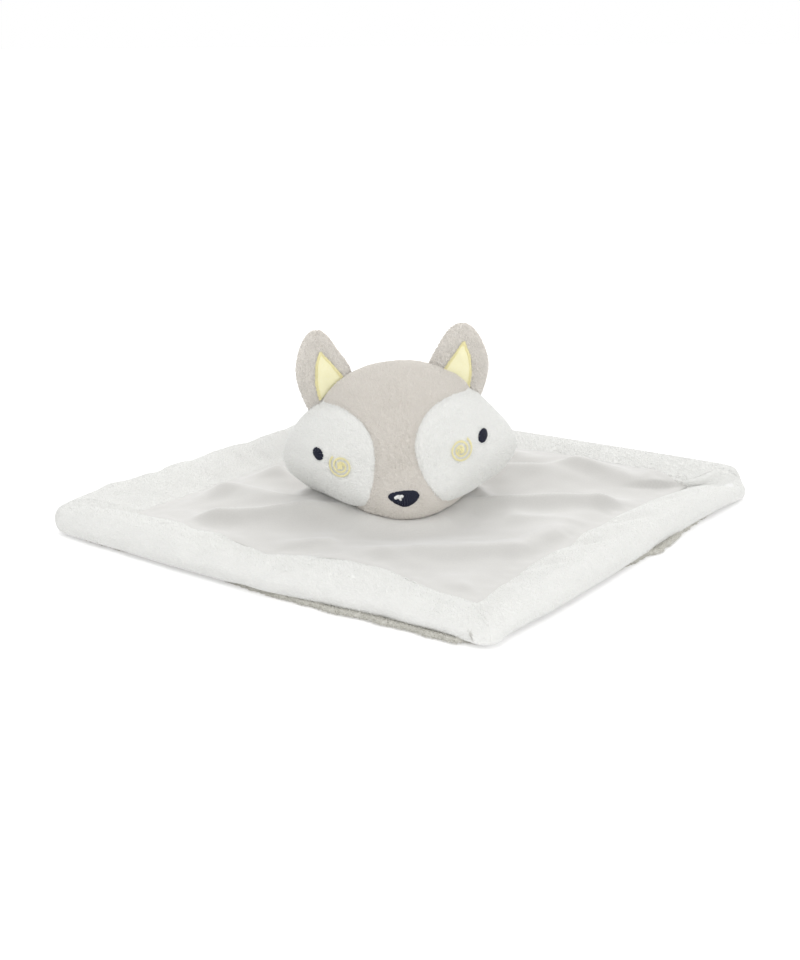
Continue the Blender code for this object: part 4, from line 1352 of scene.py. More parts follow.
# %% Fibres at the near corner's mitre
rng = np.random.default_rng(17)
near_strip = surface_of(bpy.data.objects["border_strip_front_left"])
corner_x, corner_y = (float(v[0]) for v in drift(np.zeros(1), np.full(1, -HALF_SIDE * 1.34)))
paths = []
for _ in range(30):
    side, high = rng.normal(0, 0.00022), rng.uniform(0.0034, 0.0070)
    start = Vector((corner_x - 0.0066 + side - 0.25 * (high - 0.005), corner_y - 0.03, high))
    hit, _, _, _ = near_strip.ray_cast(start, Vector((0, 1, 0)))
    if hit is None:
        continue
    way = Vector((rng.normal(-0.3, 0.3), -0.5, rng.uniform(0.8, 1.6))).normalized()
    bend = Vector((rng.normal(0, 0.0003), 0, 0))
    root = hit + Vector((0, 0.0006, -0.0004))
    length = rng.uniform(0.0012, 0.0022)
    paths.append([tuple(root + way * length * k + bend * k * k) for k in (0, 0.4, 0.75, 1)])
wisp = lay_threads("corner_wisp", paths, 0.00010, knit_back, 4)
dress(wisp, "blanket", "white_plush")

# %% [markdown]
# ## Stuffing
#
# Loose fibre fills the border and the head. It never shows, so a copy of the solid would do, but
# the solid's faces are long and thin. A voxel remesh gives it even faces that can be made lumpy,
# and it stays a little smaller than its cover.

# %% Stuffing
LUMP_CELL = 0.0025


def stuffing(name, node, shrink, body, seed):
    """Loose fibre in the form of the node, a little smaller and lumpy."""
    lump = cad_copy(name, node)
    with_modifier(lump, "REMESH", mode="VOXEL", voxel_size=LUMP_CELL)
    with_modifier(lump, "SMOOTH", factor=0.6, iterations=5)
    places, out = points_of(lump), normals_of(lump)
    places = places + out * (0.0006 * noises(places, 120, (seed, 0, 0)) - shrink)[:, None]
    if body == "blanket":
        places[:, 0], places[:, 1] = drift(places[:, 0], places[:, 1])
    smooth_and_dye(move_points(lump, places), white_fibre)
    dress(lump, body, "white_fibre", node)
    print(name, "has", len(lump.data.polygons), "faces")


for number, quarter in enumerate(QUARTERS):
    stuffing(f"wadding_{quarter}", f"border_wadding_{quarter}", 0.0024, "blanket", number)

# %% [markdown]
# ## Head
#
# The head's cover is sewn from five pieces. Five pieces shaped one by one would leave gaps. So one
# closed form is shaped first, puffed up by the cloth simulation between its pinned seams and drawn
# in along them. Then it is cut along the seams, and the pieces meet exactly.

# %% The head's own frame
HEAD = (
    Matrix.Translation((-0.0068, -0.0040, 0.0354))
    @ Matrix.Rotation(math.radians(-8), 4, "Z")
    @ Matrix.Rotation(math.radians(-4.5), 4, "Y")
)
TO_THE_BACK = HEAD.to_3x3() @ Vector((0, 1, 0))


def in_head(places):
    """Places in the head's own frame."""
    back_in = np.array(HEAD.inverted())
    return np.asarray(places) @ back_in[:3, :3].T + back_in[:3, 3]


def from_head(places):
    out = np.array(HEAD)
    return np.asarray(places) @ out[:3, :3].T + out[:3, 3]


def on_surface(surface, x, z, out):
    """Where a needle from the front meets a surface, or else its nearest place, this far out."""
    start = HEAD @ Vector((x, -0.09, z))
    point, normal, _, _ = surface.ray_cast(start, TO_THE_BACK)
    if point is None:
        point, normal, _, _ = surface.find_nearest(HEAD @ Vector((x, 0.006, z)))
    return point + normal * out


print("head's middle:", [round(v / MM, 1) for v in HEAD.translation])

# %% [markdown]
# The cheek patches' outlines were read from the photo, in millimetres from the head's middle. Their
# inner sides show. Behind the widest part of the head they run on to the seam of its back.

# %% The seams of the head
FACE_SEAM = 0.0060
BASE_RADIUS = 0.0240
BASE_AHEAD = 0.004  # how far in front of the head's middle the base panel's middle lies
LEFT_CHEEK_LINE = (
    (-17.8, -13.5), (-16.6, -10), (-15, -5.4), (-14, -0.4), (-13.3, 4.8), (-13.4, 9.3),
    (-14.2, 13.8), (-16.1, 17.6), (-18.9, 21.1), (-23, 24.1), (-27.5, 26.2), (-32.2, 26.8),
    (-37.5, 26.2), (-46, 24.4), (-54, 20.5), (-61, 13), (-63, 2), (-61, -10), (-54, -18),
    (-45, -21.6), (-34, -23), (-26, -21.5), (-20.6, -18),
)
RIGHT_CHEEK_LINE = (
    (15.3, -14.7), (12, -9.8), (9.2, -4.8), (7.4, 0), (6.3, 4.7), (6.1, 9.3), (7.4, 14.1),
    (9.9, 18.7), (13.1, 22.6), (17.2, 25.2), (21.7, 26.9), (27, 27.7), (32.2, 27.4),
    (38, 26.3), (46, 24.4), (54, 20.5), (61, 13), (63, 2), (61, -10), (54, -18), (45, -21.6),
    (34, -23), (26, -21.8), (19.6, -19),
)


def smooth_loop(points, per_span):
    """A smooth closed line through points in millimetres."""
    points = [np.array(p, float) for p in points]
    found = []
    for i in range(len(points)):
        p0, p1, p2, p3 = (points[(i + k) % len(points)] for k in (-1, 0, 1, 2))
        for t in (step / per_span for step in range(per_span)):
            bent = (2 * p0 - 5 * p1 + 4 * p2 - p3) * t**2 + (3 * p1 - p0 - 3 * p2 + p3) * t**3
            found.append(0.5 * (2 * p1 + (p2 - p0) * t + bent))
    return np.array(found) * MM


LEFT_LOOP = smooth_loop(LEFT_CHEEK_LINE, 6)
RIGHT_LOOP = smooth_loop(RIGHT_CHEEK_LINE, 6)


def to_seams(places):
    """How far each place is from the nearest seam of the head."""
    x, y, z = in_head(places).T
    best = np.abs(y - FACE_SEAM)
    near = np.full(len(x), 1.0)
    for spot in np.vstack((LEFT_LOOP, RIGHT_LOOP)):
        near = np.minimum(near, np.hypot(x - spot[0], z - spot[1]))
    best = np.minimum(best, np.where(y < FACE_SEAM, near, 1.0))
    base = np.abs(np.hypot(x, y + BASE_AHEAD) - BASE_RADIUS)
    return np.minimum(best, np.where(z < -0.01, base, 1.0))


print("points on the cheek seams:", len(LEFT_LOOP) + len(RIGHT_LOOP))

# %% [markdown]
# The cover starts as a copy of the stuffing's solid, because that has the head's form already. Its
# faces are too coarse for cloth, so a voxel remesh makes them even. Then it is smoothed, and set
# back to the same height over the solid all round.

# %% A closed cover over the stuffing
COVER_OVER_STUFFING = 0.0016
COVER_CELL = 0.0022

cover = cad_copy("head_cover", "head_filling")
stuffed = surface_of(cover)
with_modifier(cover, "REMESH", mode="VOXEL", voxel_size=COVER_CELL)
for _ in range(2):
    with_modifier(cover, "SMOOTH", factor=0.6, iterations=10)
    places, out = points_of(cover), normals_of(cover)
    reach = []
    for place in places:
        point, normal, _, _ = stuffed.find_nearest(Vector(place))
        reach.append((Vector(place) - point).dot(normal))
    move_points(cover, places + (COVER_OVER_STUFFING - np.array(reach))[:, None] * out)
with_modifier(cover, "SMOOTH", factor=0.5, iterations=4)
print("cover:", len(cover.data.vertices), "points")

# %% [markdown]
# A stuffed head is fuller in some places than a plain form. Four of them show in the photo's
# outline. Each has a place in X and Z of the head, a fullness, and a width and height, all in
# millimetres. The seams pull the cover in.

# %% Fullness and seams
FULLER = (
    (-12, 42, 2.4, 24, 14),
    (12, 42, 1.0, 14, 14),
    (-51, 15, 3.2, 16, 14),
    (-60, 0, 2.2, 12, 12),
)
RESTS_BELOW = 0.0085  # the cover is held still below this height, where it rests on the panel

x, _, z = in_head(points_of(cover)).T / MM
fuller = sum(
    much * MM * np.exp(-(((x - at_x) / wide) ** 2) - ((z - at_z) / tall) ** 2)
    for at_x, at_z, much, wide, tall in FULLER
)
move_points(cover, points_of(cover) + normals_of(cover) * fuller[:, None])
seam_pull = 1 - smooth_step(to_seams(points_of(cover)) / 0.006)
lower = points_of(cover)[:, 2] < RESTS_BELOW
puff_up(cover, np.where(lower, 1.0, 0.25 + 0.75 * seam_pull), 16, 0.0012, 0.01)
with_modifier(cover, "SUBSURF", levels=1, render_levels=1)
places = points_of(cover)
away = to_seams(places)
inward = 0.0011 * np.exp(-((away / 0.0015) ** 2)) + 0.0005 * np.exp(-((away / 0.004) ** 2))
step = (0.0005 * noises(places, 55) - inward)[:, None]
move_points(cover, places + normals_of(cover) * step)
bpy.ops.object.shade_smooth()
cover_surface = surface_of(cover)
print("head cover:", len(cover.data.polygons), "faces")

# %% [markdown]
# ## Where the face goes
#
# Embroidery presses the pile flat, so none may grow under the eyes and the nose, and less under the
# open spirals. Their places are needed before the pile grows. They are middles in X and Z of the
# head, left and right, read from the photo.

# %% Places on the face
EYES = np.array(((-40.6, 6.5), (39.4, 8.2))) * MM
EYE_HALF = (0.0023, 0.0029)
EYE_TILTS = (24, -18)
SWIRLS = np.array(((-29.7, 1.7), (27.7, 4.8))) * MM
SWIRL_RADIUS = 0.0055
SWIRL_BARE = 0.45
NOSE_LINE = (
    (-8.3, -11.3), (-7.4, -10.2), (-5.5, -9.6), (-3.4, -9.3), (-0.7, -9), (2, -9.1), (4.5, -9.6),
    (5.9, -10.7), (6.1, -12.1), (5, -13.5), (3.6, -14.6), (1.6, -15.5), (-0.5, -15.9),
    (-2.6, -15.5), (-4.8, -14.5), (-6.6, -13.3), (-7.8, -12.3),
)
NOSE_LOOP = smooth_loop(NOSE_LINE, 4)


def inside_loop(x, z, loop):
    """Which places lie inside a closed line."""
    crossed = np.zeros(len(x), int)
    for (x0, z0), (x1, z1) in zip(loop, np.roll(loop, -1, axis=0)):
        over = (z0 > z) != (z1 > z)
        at = x0 + (z - z0) / np.where(z1 == z0, 1e-12, z1 - z0) * (x1 - x0)
        crossed += over & (x < at)
    return crossed % 2 == 1


def under_embroidery(places):
    """1 where the face is covered by stitches, so no pile shows."""
    x, y, z = in_head(places).T
    front = y < -0.01
    covered = inside_loop(x, z, NOSE_LOOP)
    swirl = np.zeros(len(x), bool)
    for (eye_x, eye_z), (swirl_x, swirl_z) in zip(EYES, SWIRLS):
        covered |= ((x - eye_x) / EYE_HALF[0]) ** 2 + ((z - eye_z) / EYE_HALF[1]) ** 2 < 1
        swirl |= np.hypot(x - swirl_x, z - swirl_z) < SWIRL_RADIUS
    return np.where(front & covered, 1.0, np.where(front & swirl, SWIRL_BARE, 0.0))


print("cover points under embroidery:", int((under_embroidery(points_of(cover)) > 0).sum()))

# %% [markdown]
# ## Cutting the cover
#
# A seam is where two panels' cut edges meet. Cutting by hand along a drawn line would leave steps.
# Instead each panel is what exact booleans leave of the closed cover inside a column over its
# outline. The faces that the cutters leave are taken away, and the open cloth is thickened.

# %% Cutters
SEAM_GAP = 0.0001
FAR_OUT = 0.09
cut_face = bpy.data.materials.new("cut_face")


def prism(name, loop, front, back_end):
    """The space behind an outline in X and Z of the head, drawn out along Y."""
    bpy.ops.mesh.primitive_circle_add(vertices=len(loop), fill_type="NGON")
    solid = place_applied(added(name))
    move_points(solid, np.column_stack((loop[:, 0], np.full(len(loop), front), loop[:, 1])))
    draw_out = {"TRANSFORM_OT_translate": {"value": (0, back_end - front, 0)}}
    edit_mesh(
        solid,
        (bpy.ops.mesh.extrude_region_move, draw_out),
        (bpy.ops.mesh.select_all, {"action": "SELECT"}),
        OUTWARD,
    )
    return finished_cutter(solid)


def column(name, radius, low, high):
    """The round space under the head, for its base."""
    middle = (0, -BASE_AHEAD, (low + high) / 2)
    bpy.ops.mesh.primitive_cylinder_add(
        vertices=64, radius=radius, depth=high - low, location=middle
    )
    return finished_cutter(place_applied(added(name)))


def finished_cutter(solid):
    """Sets a cutter on the head, and marks the faces that it will leave."""
    move_points(solid, from_head(points_of(solid)))
    solid.data.materials.append(cut_face)
    return solid


BOX_LOOP = np.array(((-1, -1), (1, -1), (1, 1), (-1, 1))) * FAR_OUT
BEFORE, BEHIND = FACE_SEAM - SEAM_GAP / 2, FACE_SEAM + SEAM_GAP / 2
CUTTERS = {
    "face": prism("face_half", BOX_LOOP, -0.12, BEFORE),
    "back": prism("back_half", BOX_LOOP, BEHIND, 0.12),
    "left": prism("left_cheek", LEFT_LOOP, -0.1, BEFORE),
    "right": prism("right_cheek", RIGHT_LOOP, -0.1, BEFORE),
    "left_room": prism("left_room", LEFT_LOOP, -0.1, FACE_SEAM + 0.001),
    "right_room": prism("right_room", RIGHT_LOOP, -0.1, FACE_SEAM + 0.001),
    "base": column("base_disc", BASE_RADIUS, -0.05, -0.005),
    "base_room": column("base_room", BASE_RADIUS + SEAM_GAP, -0.06, -0.004),
}
print("cutters:", list(CUTTERS))

# %% Cutting one panel
PANEL_FUSE = 0.00002


def select_cut_faces(piece):
    """Selects the faces that the cutters left on a piece."""
    faces = piece.data.polygons
    where = [n for n, m in enumerate(piece.data.materials) if m == cut_face]
    slots = np.empty(len(faces), np.int32)
    faces.foreach_get("material_index", slots)
    pick(piece)
    bpy.ops.object.mode_set(mode="EDIT")
    bpy.ops.mesh.select_mode(type="FACE")
    bpy.ops.object.mode_set(mode="OBJECT")
    piece.data.polygons.foreach_set("select", np.isin(slots, where))


def cut_panel(name, keep, remove):
    """The part of the cover inside one cutter and outside the others, as an open cloth."""
    pick(cover)
    bpy.ops.object.duplicate()
    piece = added(name)
    piece.data.materials.append(knit_back)
    cuts = [(keep, "INTERSECT")] + [(other, "DIFFERENCE") for other in remove]
    for cutter, operation in cuts:
        with_modifier(
            piece,
            "BOOLEAN",
            operation=operation,
            object=CUTTERS[cutter],
            solver="EXACT",
            material_mode="TRANSFER",
        )
    select_cut_faces(piece)
    bpy.ops.object.mode_set(mode="EDIT")
    bpy.ops.mesh.delete(type="FACE")
    bpy.ops.mesh.select_all(action="SELECT")
    bpy.ops.mesh.remove_doubles(threshold=PANEL_FUSE)
    bpy.ops.object.mode_set(mode="OBJECT")
    return piece


def thicken_cloth(piece, material):
    """Gives an open cloth its thickness, with the knitted back inside."""
    piece.data.materials.clear()
    piece.data.materials.append(material)
    piece.data.materials.append(knit_back)
    faces = piece.data.polygons
    faces.foreach_set("material_index", np.zeros(len(faces), np.int32))
    write_values(piece, "bare", under_embroidery(points_of(piece)))
    with_modifier(
        piece,
        "SOLIDIFY",
        thickness=0.0009,
        offset=-1,
        material_offset=1,
        material_offset_rim=1,
    )


print("cut edges closer than", PANEL_FUSE, "m are sewn into one")

# %% The head's five panels
PLUSHES = {"grey_plush": grey_plush, "white_plush": white_plush}
ROOMS = ("base_room", "left_room", "right_room")
# The node and slot of each, the cutter that keeps it and those that take the rest away
HEAD_PLAN = {
    "forehead_muzzle": ("forehead_muzzle_panel", "grey_plush", "face", ROOMS),
    "cheek_left": ("cheek_patch_left", "white_plush", "left", ROOMS[:1]),
    "cheek_right": ("cheek_patch_right", "white_plush", "right", ROOMS[:1]),
    "head_back": ("head_back_panel", "grey_plush", "back", ROOMS[:1]),
    "head_base": ("head_base_panel", "grey_plush", "base", ()),
}
NOSE_TIP = HEAD @ Vector((0, -0.060, -0.0125))  # the head's pile is brushed away from it
FINER_PILE = 0.86  # on the panels that the photo shows close by

for number, (name, (node, slot, keep, remove)) in enumerate(HEAD_PLAN.items()):
    piece = cut_panel(name, keep, remove)
    plush = PLUSHES[slot]
    thicken_cloth(piece, plush)
    size = 1.0 if name == "head_back" else FINER_PILE
    grow_pile(piece, plush, NOSE_TIP, 30 + number, scatter=0.35, scale=size, long=1.15 / size)
    dress(piece, "head", slot, node)
for cutter in CUTTERS.values():
    bpy.data.objects.remove(cutter)
bpy.data.objects.remove(cover)
stuffing("head_stuffing", "head_filling", 0.0026, "head", 9)

# %% [markdown]
# ## Centre panel
#
# The panel is one sheet of velour. It comes up to meet the head's underside all round, and falls
# into folds from there to the border. A cloth simulation would make folds, but others than the
# photo's. So the folds are lines that were read from the photo, laid over the flat sheet: each
# line's points in millimetres, its height, and its width on the near and the far side.

# %% The folds
FOLDS = (
    (((-119, -27), (-109, -21), (-97, -21), (-80, -23), (-60, -21), (-30, -26)), 6.8, 8.0, 7.0),
    (((6, -28), (35, -23), (55, -23), (76, -23), (100, -28), (120, -28)), 6.8, 8.0, 7.0),
    (((-46, -85), (-34, -85), (-2, -84), (21, -85), (40, -84), (59, -70), (72, -57)), 4.6, 8.0, 14.0),
    (((36, -41), (55, -45), (73, -52), (84, -56)), 2.6, 7.0, 9.0),
    (((-80, -64), (-60, -64), (-46, -64)), 2.8, 7.0, 11.0),
    (((-120, 37), (-107, 30), (-87, 19), (-73, 4), (-59, -8), (-40, -16)), 6.6, 11.0, 10.0),
    (((-14, -125), (6, -128)), 2.2, 6.0, 8.0),
    (((-104, 50), (-80, 52), (-58, 53)), 5.5, 13.0, 9.0),
    (((40, 30), (72, 24), (95, 28), (116, 24), (128, 20)), 8.6, 17.0, 9.0),
    (((52, 62), (84, 60), (110, 48)), 5.0, 10.0, 9.0),
    (((-6, 60), (10, 96), (14, 118)), 5.0, 10.0, 10.0),
    (((30, 60), (52, 84)), 4.0, 10.0, 10.0),
)
FLAT_RISE = 0.0012


def to_line(x, y, line):
    """Each place's distance from a line, which side it is on, and its share of the way along."""
    lengths = np.hypot(*np.diff(line, axis=0).T)
    starts = np.concatenate(((0,), np.cumsum(lengths)))
    best = np.full(len(x), 1.0)
    side, place = np.zeros(len(x)), np.zeros(len(x))
    for start, end, length, begun in zip(line[:-1], line[1:], lengths, starts):
        run = (end - start) / length
        along = np.clip((x - start[0]) * run[0] + (y - start[1]) * run[1], 0, length)
        off_x, off_y = x - start[0] - run[0] * along, y - start[1] - run[1] * along
        far = np.hypot(off_x, off_y)
        closer = far < best
        best = np.where(closer, far, best)
        side = np.where(closer, off_y, side)
        place = np.where(closer, (begun + along) / starts[-1], place)
    return best, side, place


def panel_rise(x, y):
    """How high the folds stand over where the cloth would lie flat."""
    rise = np.full_like(x, FLAT_RISE)
    for line, tall, near_wide, far_wide in FOLDS:
        best, side, place = to_line(x, y, np.array(line) * MM)
        wide = np.where(side < 0, near_wide, far_wide) * MM
        fade = smooth_step(place / 0.2 + 0.25) * smooth_step((1 - place) / 0.2 + 0.25)
        rise += tall * MM * fade * np.exp(-((best / wide) ** 1.5))
    return rise


print("folds:", len(FOLDS))

# %% [markdown]
# The sheet starts as a fine flat grid. How far each of its places is from the border and from the
# head decides how high it stands there: it hugs the head, lies down at the seam, and keeps soft
# waves and small gathers between them.

# %% Where the panel lies
PANEL_HALF = HALF_SIDE - BORDER_WIDTH + 0.0028
PANEL_CELLS = 140
HUG_HEIGHT = 0.0125  # the panel follows the head's underside up to here
HUG_GAP = 0.0004
HUG_FALL = 0.0105


def room_under_head(x, y):
    """The height of the head's underside over each place, or 1 where there is no head."""
    found = []
    for u, v in zip(x, y):
        point, _, _, _ = cover_surface.ray_cast(Vector((u, v, -0.01)), Vector((0, 0, 1)))
        found.append(1.0 if point is None else point.z)
    return np.array(found)


def to_nearest(x, y, chosen):
    """How far each place is from the nearest of the chosen ones."""
    tree = KDTree(len(chosen))
    for number, index in enumerate(chosen):
        tree.insert((x[index], y[index], 0), number)
    tree.balance()
    return np.array([tree.find((u, v, 0))[2] for u, v in zip(x, y)])


bpy.ops.mesh.primitive_grid_add(
    x_subdivisions=PANEL_CELLS, y_subdivisions=PANEL_CELLS, size=2 * PANEL_HALF
)
panel = place_applied(added("panel_cloth"))
flat_places = points_of(panel) @ np.array(Matrix.Rotation(EIGHTH, 3, "Z")).T
x, y = flat_places[:, 0], flat_places[:, 1]
to_edge = HALF_SIDE - BORDER_WIDTH - np.abs(points_of(panel)[:, :2]).max(axis=1)
wider = (HALF_SIDE - CROWN_INSET) / (HALF_SIDE - BORDER_WIDTH)
seam_up = np.interp(way_round(x * wider, y * wider), SEAM_AT, SEAM_UP)
seam_up *= 1 - smooth_step(to_edge / 0.026)
x, y = drift(x, y)
room = room_under_head(x, y)
under = np.flatnonzero(room < HUG_HEIGHT)
to_head = to_nearest(x, y, under)
print(len(under), "places of the panel lie under the head")

# %% How high the panel stands
soft = flat_noises(x, y, 34, 4)
crease = np.array([noise(Vector((u * 60 + 3, v * 110, 9))) for u, v in zip(x, y)])
gathers = flat_noises(x, y, 170, 12)
free = smooth_step(to_edge / 0.012)
near_seam = smooth_step(to_edge / 0.002) * np.exp(-((to_edge / 0.007) ** 2))
rise = panel_rise(x, y) * smooth_step(to_edge / 0.016)
hug = (HUG_HEIGHT - PANEL_TOP) * np.exp(-((to_head / HUG_FALL) ** 2))
rise = (rise**3 + hug**3) ** (1 / 3) + free * (0.0010 * soft + 0.0006 * crease)
top = PANEL_TOP + seam_up + rise + 0.0005 * near_seam * gathers
top = top + 0.0004 * np.exp(-((to_edge / 0.003) ** 2))
top = np.minimum(top, np.maximum(room - HUG_GAP, PANEL_TOP))
move_points(panel, np.column_stack((x, y, np.maximum(top, 0.0040))))
with_modifier(panel, "SMOOTH", factor=0.5, iterations=2)
with_modifier(panel, "SOLIDIFY", thickness=0.0014, offset=-1)
print("panel:", len(panel.data.polygons), "faces, top", round(float(top.max()) / MM, 1), "mm")

# %% The panel's painted slope shade
# Painted shade and light: a slope facing the camera gets a number near 1, which darkens the velour,
# and one facing away a number near 0, which lightens it. Near the head the number is kept low, so
# there the velour is painted lighter.
sloped = normals_of(panel)
facing_camera = -(sloped[:, 0] * back.x + sloped[:, 1] * back.y) * np.sign(-sloped[:, 2])
clear = np.tile(smooth_step(to_head / 0.024), 2)[: len(facing_camera)]
write_values(panel, "painted_slope_shade", smooth_step(facing_camera + 0.30) * (0.25 + 0.75 * clear))
smooth_and_dye(panel, grey_velour)
dress(panel, "blanket", "grey_velour", "centre_panel")

# %% [markdown]
# ## Ears
#
# An ear is two layers of plush, turned right side out and sewn into the head's seam. The ears could
# be modelled anew, but the solids already have their form. So copies of them are made finer, moved
# to where the photo has the ears, and drawn into the head's cover at the foot.
#
# An ear turns on its sewn foot. Here the joint's two bodies and two places across the foot, below
# and above it, are found, but the ear's pieces are neither bent nor joined to either body.

# %% The ear's joint and its foot
EAR_BEND = (0.0020, 0.0070)  # places this far below and above the ear's hinge


def bend_across_foot(word):
    joint = next(j for j in frame["joints"] if j["name"] == f"ear_{word}_flex")
    foot, axis = Vector(joint["pos_m"]), Vector(joint["axis"]).normalized()
    up = axis.cross(TO_THE_BACK)
    return joint["parent"], joint["child"], foot - up * EAR_BEND[0], foot + up * EAR_BEND[1]


print("the left ear bends between", *bend_across_foot("left")[:2])

# %% Shaping the layers of an ear
EAR_GROWTH = 0.0004
# How far the whole ear is moved in X and Z of the head, and how much its tip rises
EAR_MOVES = {"left": (-0.0012, 0.0008, 0.0022), "right": (-0.0022, 0.0004, 0.0002)}
EAR_FOOT_Z = 0.0200
EAR_TALL = 0.0376
SEWN_IN = 0.0042


def sewn_foot(spots):
    """How far each place of an ear is drawn into the head's cover."""
    found = []
    for spot in spots:
        point, normal, _, _ = cover_surface.find_nearest(Vector(spot))
        over = (Vector(spot) - point).dot(normal)
        found.append(normal * -SEWN_IN * float(1 - smooth_step((over - 0.001) / 0.011)))
    return np.array(found)


def ear_layer(layer, word):
    """One layer of an ear, moved to its place and drawn in at its foot."""
    ear = cad_copy(f"ear_{layer}_cloth_{word}", f"ear_{layer}_{word}")
    with_modifier(ear, "SUBSURF", levels=2, render_levels=2)
    spots = in_head(points_of(ear) + normals_of(ear) * EAR_GROWTH)
    move_x, move_z, stretch = EAR_MOVES[word]
    up = np.clip((spots[:, 2] - EAR_FOOT_Z) / EAR_TALL, 0, 1)
    spots[:, 0] += move_x
    spots[:, 2] += move_z + stretch * up
    if word == "left":
        # In the photo the left ear is narrower on its inner side
        spots[:, 0] -= 0.0028 * smooth_step((spots[:, 0] + 0.041) / 0.018)
    spots = from_head(spots)
    move_points(ear, spots + evened(ear, sewn_foot(spots), 12))
    return smooth_and_dye(ear, ear_plush_painted_light)


print("ears are sewn in by", round(SEWN_IN / MM, 1), "mm")

# %% [markdown]
# The lining is a small triangle of satin on the front of each ear. It is given as its apex, its
# outer side down to the lower corner, and its inner corner, in millimetres of the head's X and Z.

# %% The lining's outline
LININGS = {
    "left": ((-36.4, 49.8), (-38.9, 43.5), (-39.7, 35.1), (-38.6, 25.5), (-26.0, 35.7)),
    "right": ((34.7, 49.2), (37.0, 41.7), (36.9, 34.0), (35.2, 25.8), (22.7, 34.4)),
}
LINING_ROWS = 16


def lining_sides(word):
    """The lining's outer and inner side as rows of places, and its middle."""
    line = np.array(LININGS[word]) * MM
    shares = np.linspace(0, 1, LINING_ROWS + 1)
    outer_side = np.column_stack(
        [np.interp(shares, (0, 0.33, 0.66, 1), line[:4, k]) for k in (0, 1)]
    )
    inner_side = line[0] + (line[4] - line[0]) * shares[:, None]
    return outer_side, inner_side


print("rows in a lining:", LINING_ROWS)

# %% Plush on an ear
EAR_PILE = {"nap": 0.8, "scatter": 0.6, "scale": 0.75, "long": 1.9}  # finer and longer


def cover_ear(layers, number, side, word, loop, middle):
    """Grows the pile on both layers, but not under the lining."""
    tip = HEAD @ Vector((side * 0.036, 0.008, 0.09))
    for layer, ear in layers.items():
        x, _, z = in_head(points_of(ear)).T
        hidden = inside_loop(x, z, middle + (loop - middle) * 1.02) & (layer == "front")
        write_values(ear, "bare", hidden)
        grow_pile(ear, ear_plush_painted_light, tip, 50 + number, **EAR_PILE)
        dress(ear, bend_across_foot(word), "grey_plush", f"ear_{layer}_{word}")


print("ear pile:", EAR_PILE)

# %% Satin on an ear
SATIN_OVER_PLUSH = 0.0008


def lay_lining(surface, word, outer_side, inner_side):
    """A sheet of satin, stretched over the ear's front between two sides."""
    bpy.ops.mesh.primitive_grid_add(
        x_subdivisions=LINING_ROWS, y_subdivisions=LINING_ROWS, size=1
    )
    lining = place_applied(added(f"ear_satin_{word}"))
    spots = []
    for u, v, _ in points_of(lining) + 0.5:
        row = round((1 - v) * LINING_ROWS)
        x, z = inner_side[row] * (1 - u) + outer_side[row] * u
        lift = SATIN_OVER_PLUSH + 0.0004 * noise(Vector((x * 260, z * 160, 1)))
        spots.append(tuple(on_surface(surface, x, z, lift)))
    edit_mesh(move_points(lining, spots), FUSED)
    if normals_of(lining)[:, 1].mean() > 0:
        edit_mesh(lining, (bpy.ops.mesh.flip_normals, {}))
    with_modifier(lining, "SOLIDIFY", thickness=0.0003, offset=0)
    smooth_and_dye(lining, yellow_satin)
    dress(lining, bend_across_foot(word), "yellow_satin", f"ear_lining_{word}")


print("satin lies", SATIN_OVER_PLUSH, "m over the ear")

# %% [markdown]
# The lining's edge is covered by close stitches across it, a satin stitch. A cord along the edge
# would be too smooth, so each stitch is a thread that starts on the satin and ends in the plush.

# %% Stitches round a lining
THREAD_PITCH = 0.00036


def stitches_along(surface, start, end, middle, rng):
    """Threads across one piece of an edge, from inside to outside."""
    length = np.hypot(*(end - start))
    outward = np.array(((end - start)[1], -(end - start)[0])) / length
    if np.dot(outward, start - middle) < 0:
        outward = -outward
    steps = max(round(length / THREAD_PITCH), 1)
    paths = []
    for k in range(steps):
        spot = start + (end - start) * (k + rng.uniform(-0.2, 0.2)) / steps
        near, far = rng.uniform(-0.0008, -0.0006), rng.uniform(0.0004, 0.0007)
        path = []
        for share in np.linspace(0, 1, 4):
            x, z = spot + outward * (near + (far - near) * share)
            arch = 0.0009 + 0.0003 * math.sin(math.pi * share)
            path.append(tuple(on_surface(surface, x, z, arch)))
        paths.append(path)
    return paths


def stitch_lining(surface, number, word, sides, middle):
    """Close stitches over the lining's two long edges."""
    rng = np.random.default_rng(60 + number)
    paths = []
    for line in sides:
        for start, end in zip(line[:-1], line[1:]):
            paths += stitches_along(surface, start, end, middle, rng)
    stitching = lay_threads(f"ear_stitches_{word}", paths, 0.0002, yellow_thread, 5)
    dress(stitching, bend_across_foot(word), "yellow_thread", f"ear_stitching_{word}")


print("stitches", round(THREAD_PITCH / MM, 2), "mm apart")

# %% Both ears
LEFT_AND_RIGHT = ((-1, "left"), (1, "right"))

for number, (side, word) in enumerate(LEFT_AND_RIGHT):
    layers = {layer: ear_layer(layer, word) for layer in ("front", "back")}
    surface = surface_of(layers["front"])
    outer_side, inner_side = lining_sides(word)
    loop = np.vstack((outer_side, inner_side[::-1][:-1]))
    middle = loop.mean(axis=0)
    cover_ear(layers, number, side, word, loop, middle)
    lay_lining(surface, word, outer_side, inner_side)
    stitch_lining(surface, number, word, (outer_side, inner_side), middle)

# %% [markdown]
# ## Face
#
# The eyes, nose and cheek spirals are embroidered. A flat patch with a picture of threads would
# look printed on, so every thread is laid, side by side across the shape. Each one follows the
# cover, and those that fill a shape dip into it at both ends.

# %% Filling a shape with threads
ON_CLOTH = 0.0008  # how high embroidery lies over the cloth
FACE_PITCH = 0.00034
RAGGED = 0.00015  # how unevenly the threads end


def crossings_of(loop, fixed, at):
    """Where a straight line at this place crosses an outline."""
    running = 1 - fixed
    found = []
    for start, end in zip(loop, np.roll(loop, -1, axis=0)):
        if (start[fixed] > at) != (end[fixed] > at):
            share = (at - start[fixed]) / (end[fixed] - start[fixed])
            found.append(start[running] + share * (end[running] - start[running]))
    return found


